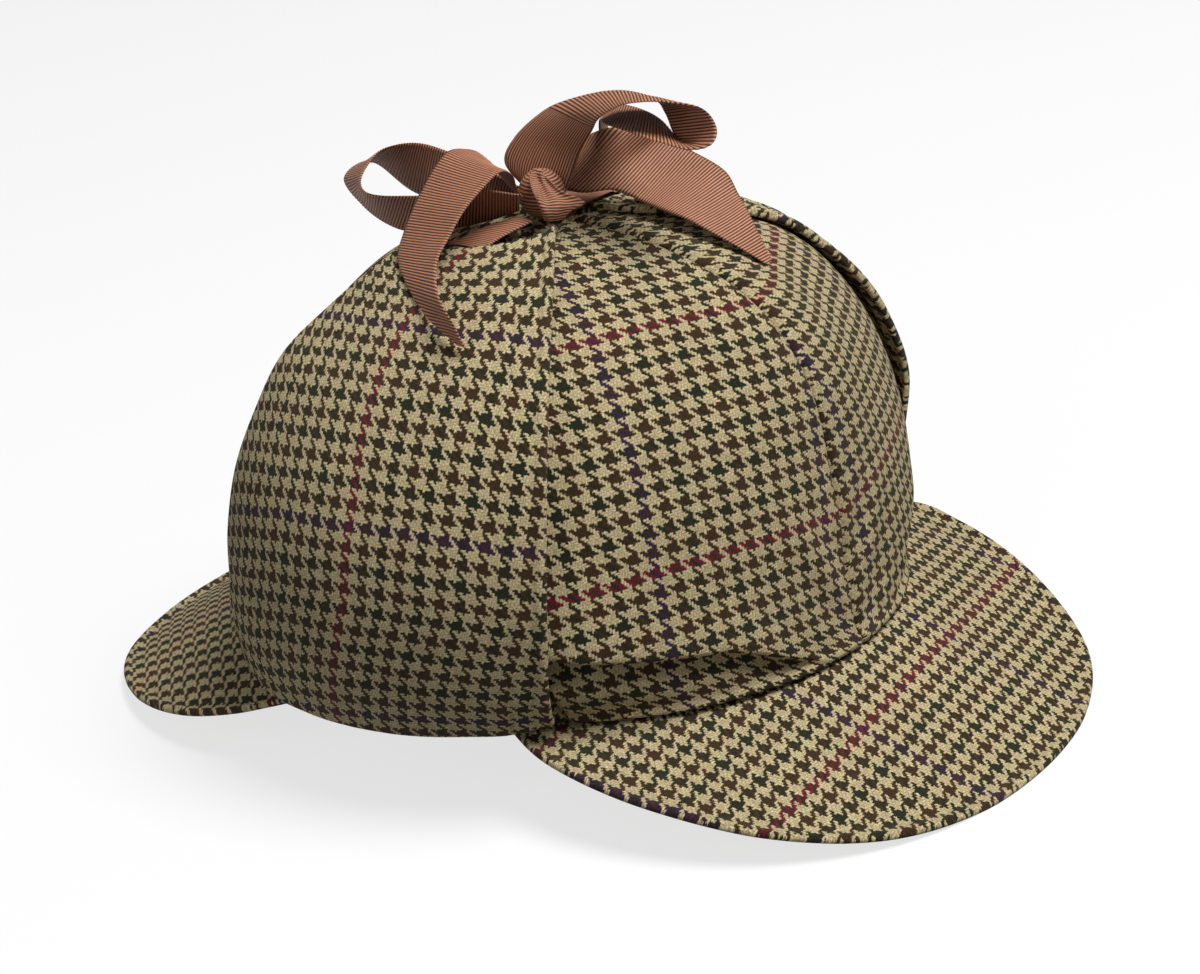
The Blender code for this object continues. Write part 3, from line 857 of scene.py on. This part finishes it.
# Height, size and seed of the waves in each kind of panel
CROWN_WAVES = ((0.5, 34.0, 0), (0.2, 13.0, 9))
PEAK_WAVES = ((0.3, 30.0, 20), (0.12, 9.0, 25))
FLAP_WAVES = ((0.5, 40.0, 30), (0.15, 14.0, 33))

# Height, distance from the edge and width of the lines along it
SEAM_LINES = ((-1.0, 0.0, 1.4), (0.3, 3.2, 1.6))
CROWN_LOW_LINES = ((1.3, 2.6, 1.9), (-0.8, 0.0, 0.9))
PEAK_RIM_LINES = ((0.3, 1.6, 1.5),)

# Cloth of the front panels: height on the panel, and the slope and bend of the thread rows there
FRONT_SLOPES = ((48.0, 116.0), (0.02, 0.06))
FRONT_BENDS = ((48.0, 116.0), (0.002, 0.002))
FRONT_MAROON = 48.2          # height of the maroon row
FRONT_SQUEEZE = 1.056
FRONT_PURPLE = 15.0          # the purple column, from the middle one
# Cloth of the other panels
OTHER_SLOPES = ((0.0, 1.0), (0.0, 0.0))
OTHER_BENDS = ((0.0, 100.0), (0.001, 0.003))
OTHER_START = 31.0
OTHER_SHIFT = (17.0, 11.0)   # from one panel to the next, up and across

FRONT_RIGHT = 0
SIDE_RIGHT = 1
SIDE_LEFT = 4
FRONT_LEFT = 5

# Crown's front panels: how high the crease over the peak lies, by distance from the middle column
CREASE = np.array((
    (-36.0, 0.5),
    (-32.9, 1.5),
    (-23.7, 6.8),
    (-11.9, 14.3),
    (-1.7, 19.1),
    (12.8, 21.9),
    (30.8, 24.9),
    (48.0, 28.0),
))
CREASE_STEP = 2.9            # the cloth above the crease stands out, and under it sinks, by this
CREASE_SHARP = 0.9
CREASE_ABOVE = 15.0
CREASE_BELOW = 7.5
CREASE_LOW_FADE = 4.0
# Where the crease starts, how soon it is whole, and its share of the step
CREASE_REACH = {FRONT_RIGHT: (-36.0, 22.0, 1.0), FRONT_LEFT: (-40.0, 30.0, 0.35)}

# The crown is fuller where its left side and front meet: height above the seam and fullness
LEFT_FULLNESS = np.array((
    (0.0, 0.0),
    (8.0, 0.0),
    (25.0, 2.2),
    (46.0, 5.0),
    (80.0, 5.0),
    (93.0, 4.3),
    (100.0, 3.3),
    (107.0, 1.8),
    (114.0, 0.0),
    (120.0, 0.0),
))
FULLNESS_WIDTH = {SIDE_LEFT: 30.0, FRONT_LEFT: 42.0}

# The crown dips beside the right flap's front edge: height above the seam, and how far the
# middle of the dip lies in front of the seam between the panels
DIP_BESIDE_FLAP = np.array((
    (0.0, -0.2),
    (14.0, -0.2),
    (44.0, 1.3),
    (61.0, 1.9),
    (78.0, 2.6),
    (93.0, 2.8),
    (106.0, 2.6),
    (120.0, 2.6),
))
DIP_DEPTH = 2.4
DIP_WIDTH = 1.9
DIP_TOP = 118.0
DIP_FADE = 12.0

# Small diagonal puckers where a front panel narrows to its point
PUCKER_HEIGHT = 0.15
PUCKER_SLANT = 0.8
PUCKER_PACE = 0.62
PUCKER_PLACE = 140.0
PUCKER_SPREAD = 26.0
PUCKER_START = -12.0
PUCKER_FADE = 14.0

# Soft slanting folds beside the lower end of the front seam
FOLD_HEIGHT = 0.7
FOLD_SLANT = -1.4
FOLD_PACE = 0.22
FOLD_PHASE = 0.8
FOLD_PLACE = (-46.0, 32.0)
FOLD_SPREAD = (16.0, 22.0)


def bent_rows(u, v, turns, bends):
    """Height in the cloth where the thread rows slope and bend, by height on the panel."""
    turn = np.interp(v, turns[0], turns[1])
    bend = np.interp(v, bends[0], bends[1])
    return v + turn * u + bend * u * u


def crown_cloth(number, sheet):
    u, v = sheet.arcs()
    if number in (FRONT_RIGHT, FRONT_LEFT):
        side = RIGHT if number == FRONT_RIGHT else LEFT
        u = -side * u
        first = (bent_rows(u, v, FRONT_SLOPES, FRONT_BENDS) - FRONT_MAROON) * FRONT_SQUEEZE
        second = side * (u - FRONT_PURPLE)
        return np.stack((first + STRIPE, second + STRIPE), axis=-1)
    up, across = OTHER_SHIFT
    rows = bent_rows(u, v, OTHER_SLOPES, OTHER_BENDS)
    return np.stack((rows - OTHER_START + up * number, across * number - u), axis=-1)


def crease_relief(number, u, low):
    start, fade, share = CREASE_REACH[number]
    above = low - np.interp(u, CREASE[:, 0], CREASE[:, 1])
    lip = np.tanh(above / CREASE_SHARP)
    lip = lip * np.where(above > 0, bell(above, CREASE_ABOVE), bell(above, CREASE_BELOW))
    strength = share * ease((u - start) / fade) * ease(low / CREASE_LOW_FADE)
    return CREASE_STEP * strength * lip


def fold_relief(u, v):
    pucker = np.sin((v + PUCKER_SLANT * u) * PUCKER_PACE) * bell(v - PUCKER_PLACE, PUCKER_SPREAD)
    pucker = pucker * ease((u - PUCKER_START) / PUCKER_FADE)
    fold = np.sin((v + FOLD_SLANT * u) * FOLD_PACE + FOLD_PHASE)
    fold = fold * bell(u - FOLD_PLACE[0], FOLD_SPREAD[0]) * bell(v - FOLD_PLACE[1], FOLD_SPREAD[1])
    return PUCKER_HEIGHT * pucker + FOLD_HEIGHT * fold


def crown_relief(number, sheet):
    u, v = sheet.arcs()
    if number == FRONT_LEFT:
        u = -u
    height = sheet.face[..., 2] - SEAM_HEIGHT
    relief = waves(sheet.face, CROWN_WAVES, number)
    relief += lines(np.minimum(sheet.from_start, sheet.from_end), SEAM_LINES)
    relief += lines(sheet.from_low, CROWN_LOW_LINES)
    if number in FULLNESS_WIDTH:
        beside = sheet.from_end if number == SIDE_LEFT else sheet.from_start
        relief += smooth(LEFT_FULLNESS, 1, height) * bell(beside, FULLNESS_WIDTH[number])
    if number in (FRONT_RIGHT, SIDE_RIGHT):
        beside = sheet.from_end if number == FRONT_RIGHT else -sheet.from_start
        dip = DIP_DEPTH * bell(beside - smooth(DIP_BESIDE_FLAP, 1, height), DIP_WIDTH)
        relief -= dip * ease(height / DIP_FADE) * ease((DIP_TOP - height) / DIP_FADE)
    if number in CREASE_REACH:
        relief += crease_relief(number, u, sheet.from_low) + fold_relief(u, v)
    return relief


# Share of a panel's grid lines, and of its height: close lines round the crease
CROWN_STEPS = ((0.0, 0.012, 0.45, 1.0), (0.0, 0.012, 0.27, 1.0))
CROWN_PANEL = (105.0, 175.0)
CROWN_EDGE = 1.6
CROWN_GRID = (72, 100)
CROWN_FRONT_GRID = (110, 180)


def build_crown(material):
    for number, name in enumerate(GORES):
        columns, rows = CROWN_FRONT_GRID if number in CREASE_REACH else CROWN_GRID
        across = spread(columns, CROWN_EDGE, CROWN_PANEL[0])
        up = spread(rows, CROWN_EDGE, CROWN_PANEL[1])
        up = np.interp(up, CROWN_STEPS[0], CROWN_STEPS[1])
        sheet = Sheet(gore_point(number), across, up, from_middle)
        front, back = sheet.thick(CROWN_WALL, crown_relief(number, sheet))
        cloth = crown_cloth(number, sheet)
        item = make_mesh("tweed_crown_" + name, front, back, cloth, material, sheet.turned)
        finish_piece(item, "crown_" + name)


# Cloth of the peaks: where the maroon row crosses the middle line, how it slopes and bends,
# and where the columns start
FRONT_PEAK_MAROON = 114.4
FRONT_PEAK_SLOPE = 0.0996
FRONT_PEAK_BEND = 0.00068
FRONT_PEAK_SKEW = 0.127
FRONT_PEAK_SKEW_FROM = 120.0
FRONT_PEAK_COLUMN = 30.4
BACK_PEAK_MAROON = 118.3
BACK_PEAK_BEND = 0.0006
BACK_PEAK_BEND_FROM = 60.0
BACK_PEAK_COLUMN = 12.0
PEAK_SQUEEZE = 1.05
PEAK_PANEL = (250.0, 62.0)
PEAK_GRID = (150, 46)
PEAK_EDGE = 1.2
PEAK_RELIEF_FADE = 1.5


def peak_cloth(name, sheet):
    x, y = sheet.face[..., 0], sheet.face[..., 1]
    if name == "front":
        first = -(y + FRONT_PEAK_MAROON - FRONT_PEAK_SLOPE * x - FRONT_PEAK_BEND * x * x)
        second = x + FRONT_PEAK_SKEW * (y + FRONT_PEAK_SKEW_FROM) - FRONT_PEAK_COLUMN
    else:
        first = y - BACK_PEAK_MAROON + BACK_PEAK_BEND * (x + BACK_PEAK_BEND_FROM) ** 2
        second = BACK_PEAK_COLUMN - x
    return np.stack((first * PEAK_SQUEEZE + STRIPE, second + STRIPE), axis=-1)


def build_peaks(material):
    for name, facing in (("front", -1), ("back", 1)):
        across = spread(PEAK_GRID[0], PEAK_EDGE, PEAK_PANEL[0])
        up = spread(PEAK_GRID[1], PEAK_EDGE, PEAK_PANEL[1])
        sheet = Sheet(peak_point(PEAKS[name], facing), across, up, upward)
        relief = waves(sheet.face, PEAK_WAVES, facing) + lines(sheet.from_high, PEAK_RIM_LINES)
        front, back = sheet.thick(PEAK_WALL, relief * ease(sheet.edge() / PEAK_RELIEF_FADE))
        cloth = peak_cloth(name, sheet)
        # Round the rim the cloth goes on to the underside
        under = cloth + np.stack((2 * sheet.from_high, np.zeros_like(sheet.from_high)), axis=-1)
        item = make_mesh("tweed_peak_" + name, front, back, cloth, material, sheet.turned, under)
        finish_piece(item, "peak_" + name)


# Where the maroon line lies on a flap: height above the hem and distance behind the middle
FLAP_MAROON = np.array((
    (0.0, 9.8),
    (46.3, -4.1),
    (75.2, -3.8),
    (103.9, 0.6),
    (128.9, 3.7),
))
FLAP_SLOPES = ((0.0, 70.0, 129.0), (0.118, 0.0685, 0.028))
FLAP_BENDS = ((0.0, 70.0, 129.0), (0.0023, 0.0025, 0.00425))
FLAP_PURPLE = 6.9            # height of the purple row over the hem
FLAP_BACK_LINE = 0.825       # the turned-in back edge ends here, as a share of the flap's width
# Height, distance and width of the lines: the lip at the front edge and the pressed line behind it
FLAP_FRONT_LINES = ((0.6, 1.9, 1.3), (-0.5, 4.4, 1.0), (-0.45, 11.3, 0.7), (0.35, 12.6, 0.9))
FLAP_BACK_LINES = ((0.35, -1.4, 1.1), (-0.45, 0.0, 0.9))
FLAP_LINES_FADE = 0.03
FLAP_PANEL = (120.0, 210.0)
FLAP_EDGE = 1.3
FLAP_GRIDS = {RIGHT: (180, 150), LEFT: (110, 120)}


def flap_cloth(side, sheet):
    u, v = sheet.arcs(FLAP_FOLD_SHARE)
    rows = bent_rows(u, v, FLAP_SLOPES, FLAP_BENDS)
    columns = u - np.interp(v, FLAP_MAROON[:, 0], FLAP_MAROON[:, 1])
    return np.stack((side * columns + STRIPE, rows - FLAP_PURPLE + STRIPE), axis=-1)


def flap_relief(side, sheet):
    outer = ease((sheet.up - FLAP_FOLD_SHARE) / FLAP_LINES_FADE)
    behind = (sheet.across - FLAP_BACK_LINE) * sheet.from_start[:, -1:]
    raised = lines(sheet.from_start, FLAP_FRONT_LINES) + lines(behind, FLAP_BACK_LINES)
    return waves(sheet.face, FLAP_WAVES, side) + outer * raised


def build_flaps(material):
    for name, side in (("right", RIGHT), ("left", LEFT)):
        columns, rows = FLAP_GRIDS[side]
        across = spread(columns, FLAP_EDGE, FLAP_PANEL[0])
        up = spread(rows, FLAP_EDGE, FLAP_PANEL[1])
        sheet = Sheet(flap_point(side), across, up, from_middle)
        front, back = sheet.thick(FLAP_WALL, flap_relief(side, sheet))
        cloth = flap_cloth(side, sheet)
        # Round the front and back edges the cloth goes on to the inner side
        beyond = np.where(sheet.from_start < sheet.from_end, -sheet.from_start, sheet.from_end)
        inner = cloth + np.stack((2 * side * beyond, np.zeros_like(beyond)), axis=-1)
        item = make_mesh("tweed_earflap_" + name, front, back, cloth, material, sheet.turned, inner)
        finish_piece(item, "earflap_" + name)


RIB_DEPTH = 0.1
RIB_STEPS = 4                # grid rows for each rib
RIBBON_COLUMNS = 18
RIBBON_SAMPLES = 400
RIBBON_EDGE = 0.8            # the edges thin out over this many columns, from this share
RIBBON_EDGE_SHARE = 0.25
RIBBON_WAVES = ((0.22, 11.0, 0),)
RIBBON_CROWN = 0.35          # the middle of the ribbon stands out
TAIL_RIDGE = 0.2             # the right tail is folded over this share of its length
TAIL_RIDGE_HEIGHT = 0.9
TAIL_RIDGE_WIDTH = 0.035
TAIL_RIDGE_FADE = 0.1
LOOP_FOLD = 0.2              # below this share of its length the right loop is folded sideways
LEAST_AREA = 0.31            # least area reckoned for a sheet, as a share of its length times its width


def ribbon_cloth(middle, width_way, width, share):
    """Distances along and across the ribbon, however slanted its end is cut."""
    moved = np.diff(middle, axis=0)
    way = (width_way[1:] + width_way[:-1]) / 2
    aside = np.sum(moved * way, axis=-1)
    ahead = np.linalg.norm(moved - way * aside[:, None], axis=-1)
    v = np.concatenate(((0.0,), np.cumsum(ahead)))
    u = np.concatenate(((0.0,), np.cumsum(aside)))
    u = u[:, None] + width[:, None] * (share[None, :] - 0.5)
    return u, np.broadcast_to(v[:, None], u.shape)


def ribbon_grid(name, rows):
    """Middle surface of a ribbon at even steps of its length, and its place in the cloth."""
    fine = np.linspace(0, 1, RIBBON_SAMPLES)
    middle = ribbon_point(rows)(np.full(RIBBON_SAMPLES, 0.5), fine)
    length = np.concatenate(((0.0,), np.cumsum(np.linalg.norm(np.diff(middle, axis=0), axis=-1))))
    count = int(length[-1] / RIB_PITCH) * RIB_STEPS + 1
    up = np.interp(np.linspace(0, length[-1], count), length, fine)
    share = np.linspace(0, 1, RIBBON_COLUMNS + 1)
    across, up_grid = np.meshgrid(share, up)
    face = ribbon_point(rows)(across, up_grid)
    way = face[:, -1] - face[:, 0]
    width = np.linalg.norm(way, axis=-1)
    u, v = ribbon_cloth(face[:, RIBBON_COLUMNS // 2], way / width[:, None], width, share)
    if name == "ribbon_loop_right":
        folded = up_grid < LOOP_FOLD
        u, v = np.where(folded, v, u), np.where(folded, RIBBON_WIDTH * across, v)
    return face, across, up_grid, u, v, float(length[-1]), width


def rib_mesh(name, face, across, u, v, bow, material):
    """Ribbon with its cross ribs on both faces."""
    outward = normals(face)
    rib = np.abs(np.sin(v / RIB_PITCH * math.pi))
    edge = np.minimum(across, 1 - across) * RIBBON_COLUMNS
    half = RIBBON_THICKNESS / 2 - RIB_DEPTH + 2 * RIB_DEPTH * rib
    half = half * ease(edge / RIBBON_EDGE + RIBBON_EDGE_SHARE) * (edge > 0)
    half[[0, -1]] = 0
    middle = face + outward * bow[..., None]
    front = middle + outward * half[..., None]
    back = middle - outward * half[..., None]
    front[[0, -1]] = back[[0, -1]] = middle[[0, -1]]
    front[:, [0, -1]] = back[:, [0, -1]] = middle[:, [0, -1]]
    cloth = np.stack((u, v), axis=-1)
    return make_mesh(name, front, back, cloth, material, False)


def build_ribbons(material):
    for name, rows in RIBBONS.items():
        face, across, up, u, v, length, width = ribbon_grid(name, rows)
        bow = waves(face, RIBBON_WAVES, len(name)) + RIBBON_CROWN * (1 - (2 * across - 1) ** 2)
        if name == "ribbon_tail_right":
            ridge = TAIL_RIDGE_HEIGHT * bell(up - TAIL_RIDGE, TAIL_RIDGE_WIDTH)
            bow += ridge * ease(up / TAIL_RIDGE_FADE)
        item = rib_mesh("grosgrain_" + name, face, across, u, v, bow, material)
        finish_piece(item, name)
        area = float(np.sum((width[1:] + width[:-1]) / 2 * length / (len(width) - 1)))
        area = max(area, LEAST_AREA * length * RIBBON_WIDTH)


# The knot's band, as the photograph shows it: left edge, middle and right edge of each row, each
# as distances from the knot's middle along the main view's right, up and toward the viewer
KNOT_BAND = np.array((
    ((-6.4, 6.0, -1.0), (-4.6, 6.2, -1.5), (-2.6, 5.0, -1.0)),
    ((-7.4, 6.6, 2.0), (-5.6, 7.2, 1.4), (-3.4, 5.6, 1.0)),
    ((-7.6, 4.6, 4.2), (-4.9, 3.6, 1.6), (-1.6, 4.0, 3.0)),
    ((-6.9, 1.2, 5.8), (-3.3, -0.2, 4.6), (1.4, 1.0, 4.8)),
    ((-6.0, -2.0, 6.2), (-1.8, -3.2, 6.4), (8.0, -2.1, 3.4)),
    ((-4.8, -4.9, 5.8), (-1.1, -5.5, 6.2), (4.6, -4.2, 3.4)),
    ((-3.6, -7.5, 4.2), (-1.1, -7.7, 4.6), (1.6, -6.9, 2.8)),
))
KNOT_GRID = (121, 2 * RIBBON_COLUMNS + 1)
# The ribs follow the band's length, measured along these two columns in these shares
KNOT_RIB_COLUMNS = ((12, 0.6), (24, 0.4))
# Gathers across the band: height, half waves across it and slant
KNOT_GATHER = 0.45
KNOT_GATHER_WAVES = 5
KNOT_GATHER_SLANT = 1.5

# The plain core behind the band, by the same three distances
KNOT_CORE = (-4.5, 1.5, -6.2)
KNOT_CORE_RADII = (7.0, 7.0, 7.5)
KNOT_CORE_GRID = (25, 48)
KNOT_CORE_CLOTH = (5.0, 6.0)


def build_knot(material):
    middle = np.array(KNOT_MIDDLE) + np.array((0.0, 0.0, SEAM_HEIGHT))
    axes = np.stack(camera_axes())
    rows = KNOT_BAND.reshape(len(KNOT_BAND), -1)
    share = np.linspace(0, 1, KNOT_GRID[1])
    across, up = np.meshgrid(share, np.linspace(0, 1, KNOT_GRID[0]))
    row = along(rows, up)
    local = bow_curve(row[..., 0:3], row[..., 3:6], row[..., 6:9], across[..., None])
    face = middle + local @ axes
    length = steps(face, 0)
    v = sum(length[:, column:column + 1] * part for column, part in KNOT_RIB_COLUMNS)
    v = np.broadcast_to(v, across.shape)
    u = RIBBON_WIDTH * (across - 0.5)
    gather = np.sin(across * math.pi * KNOT_GATHER_WAVES + up * KNOT_GATHER_SLANT)
    bow = KNOT_GATHER * gather * np.sin(up * math.pi)
    band = rib_mesh("grosgrain_knot_band", face, across, u, v, bow, material)
    rings, count = KNOT_CORE_GRID
    turns = np.linspace(0, 2 * math.pi, count + 1)[:-1]
    around, height = np.meshgrid(turns, np.linspace(0, math.pi, rings))
    ball = stack(np.sin(height) * np.cos(around), np.sin(height) * np.sin(around), -np.cos(height))
    places = ball * np.array(KNOT_CORE_RADII) + middle + np.array(KNOT_CORE) @ axes
    u, v = around * KNOT_CORE_CLOTH[0], height * KNOT_CORE_CLOTH[1]
    core = closed_ball("grosgrain_knot_core", places, u, v, material)
    for item in (band, core):
        finish_piece(item, "ribbon_knot")


def closed_ball(name, places, u, v, material):
    """Closed mesh from rings of points, of which the first and last are single points."""
    rings, count = places.shape[:2]
    points = np.concatenate((places[:1, 0], places[1:-1].reshape(-1, 3), places[-1:, 0]))
    grid = np.stack((u, v), axis=-1)
    cloth = np.concatenate((grid[:1, 0], grid[1:-1].reshape(-1, 2), grid[-1:, 0]))
    last = len(points) - 1
    top = last - count
    faces = []
    for column in range(count):
        following = (column + 1) % count
        faces.append((0, 1 + following, 1 + column))
        faces.append((last, top + column, top + following))
        for ring in range(rings - 3):
            low = 1 + ring * count
            high = low + count
            faces.append((low + column, low + following, high + following, high + column))
    mesh = bpy.data.meshes.new(name)
    mesh.from_pydata((settle(points) * MM).tolist(), [], faces)
    layer = mesh.uv_layers.new(name="cloth")
    corners = np.array([corner for face in faces for corner in face])
    layer.data.foreach_set("uv", (cloth[corners] * MM).ravel())
    mesh.materials.append(material)
    mesh.shade_smooth()
    item = bpy.data.objects.new(name, mesh)
    bpy.context.scene.collection.objects.link(item)
    return item


# Camera, floor and light

CAMERA_AZIMUTH = -52.35
CAMERA_ELEVATION = 24.82
CAMERA_ROLL = -4.8
CAMERA_DISTANCE = 950.0
CAMERA_TARGET = 30.4
IMAGE_WIDTH = 1200
IMAGE_HEIGHT = 974
TARGET_PIXEL = (591.1, 575.5)
FOCAL_PIXELS = 3044.75
SENSOR = 36.0


def camera_axes():
    """Right, up and toward the camera, before the hat's lean."""
    azimuth = math.radians(CAMERA_AZIMUTH)
    elevation = math.radians(CAMERA_ELEVATION)
    roll = math.radians(CAMERA_ROLL)
    toward = np.array((
        math.sin(azimuth) * math.cos(elevation),
        -math.cos(azimuth) * math.cos(elevation),
        math.sin(elevation),
    ))
    right = np.array((math.cos(azimuth), math.sin(azimuth), 0.0))
    up = np.cross(toward, right)
    rolled_right = right * math.cos(roll) + up * math.sin(roll)
    rolled_up = up * math.cos(roll) - right * math.sin(roll)
    return rolled_right, rolled_up, toward


def build_camera():
    right, up, toward = camera_axes()
    place = np.array((0.0, 0.0, CAMERA_TARGET)) + toward * CAMERA_DISTANCE
    axes = settle(np.stack((right, up, toward)))
    data = bpy.data.cameras.new("camera")
    data.sensor_width = SENSOR
    data.lens = FOCAL_PIXELS * SENSOR / IMAGE_WIDTH
    data.shift_x = (IMAGE_WIDTH / 2 - TARGET_PIXEL[0]) / IMAGE_WIDTH
    data.shift_y = (TARGET_PIXEL[1] - IMAGE_HEIGHT / 2) / IMAGE_WIDTH
    camera = bpy.data.objects.new("camera", data)
    turn = Matrix([list(axes[:, 0]), list(axes[:, 1]), list(axes[:, 2])])
    camera.matrix_world = Matrix.Translation(Vector(settle(place) * MM)) @ turn.to_4x4()
    bpy.context.scene.collection.objects.link(camera)
    bpy.context.scene.camera = camera


# Lights: place in metres, size and power
LIGHTS = {
    "key": ((0.15, -1.05, 2.2), 1.3, 80.0),
    "fill": ((-2.0, 0.2, 1.2), 1.6, 10.0),
}
LIGHT_AIM = (0.0, 0.0, 0.08)
FLOOR_REACH = 6.0
FLOOR_GREY = 0.2
FLOOR_GLOW = 0.72
SKY = 0.2
WHITE = (1.0, 1.0, 1.0, 1.0)


def build_light(name, place, size, power):
    data = bpy.data.lights.new(name, "AREA")
    data.shape = "DISK"
    data.size = size
    data.energy = power
    item = bpy.data.objects.new(name, data)
    item.location = place
    item.rotation_euler = (Vector(LIGHT_AIM) - Vector(place)).to_track_quat("-Z", "Y").to_euler()
    bpy.context.scene.collection.objects.link(item)


def build_stage():
    mesh = bpy.data.meshes.new("floor")
    ends = ((-1, -1), (1, -1), (1, 1), (-1, 1))
    corners = [(x * FLOOR_REACH, y * FLOOR_REACH, 0.0) for x, y in ends]
    mesh.from_pydata(corners, [], [(0, 1, 2, 3)])
    floor = bpy.data.objects.new("floor", mesh)
    g = Graph("floor")
    g.surface({
        "Base Color": (FLOOR_GREY, FLOOR_GREY, FLOOR_GREY, 1.0),
        "Roughness": 0.9,
        "Specular IOR Level": 0.0,
        "Emission Color": WHITE,
        "Emission Strength": FLOOR_GLOW,
    })
    mesh.materials.append(g.material)
    bpy.context.scene.collection.objects.link(floor)
    floor.visible_diffuse = False
    floor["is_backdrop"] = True
    for name, (place, size, power) in LIGHTS.items():
        build_light(name, place, size, power)
    world = bpy.data.worlds.new("studio")
    world.use_nodes = True
    background = world.node_tree.nodes["Background"]
    background.inputs["Color"].default_value = WHITE
    background.inputs["Strength"].default_value = SKY
    bpy.context.scene.world = world
    bpy.context.scene.view_settings.view_transform = "Standard"


# The thread at which the twill lines start, on the crown and on the other pieces
CROWN_TWILL = 0.0
OTHER_TWILL = 2.0


def main():
    build_camera()
    build_stage()
    tweed = tweed_material("hat_tweed", OTHER_TWILL)
    ribbon = ribbon_material()
    build_crown(tweed_material("hat_tweed_crown", CROWN_TWILL))
    build_peaks(tweed)
    build_flaps(tweed)
    build_ribbons(ribbon)
    build_knot(ribbon)


def plain(box):
    return [[float(value) for value in corner] for corner in box]


main()
{"cad": plain(CAD_BOX), "visual": plain(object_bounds())}
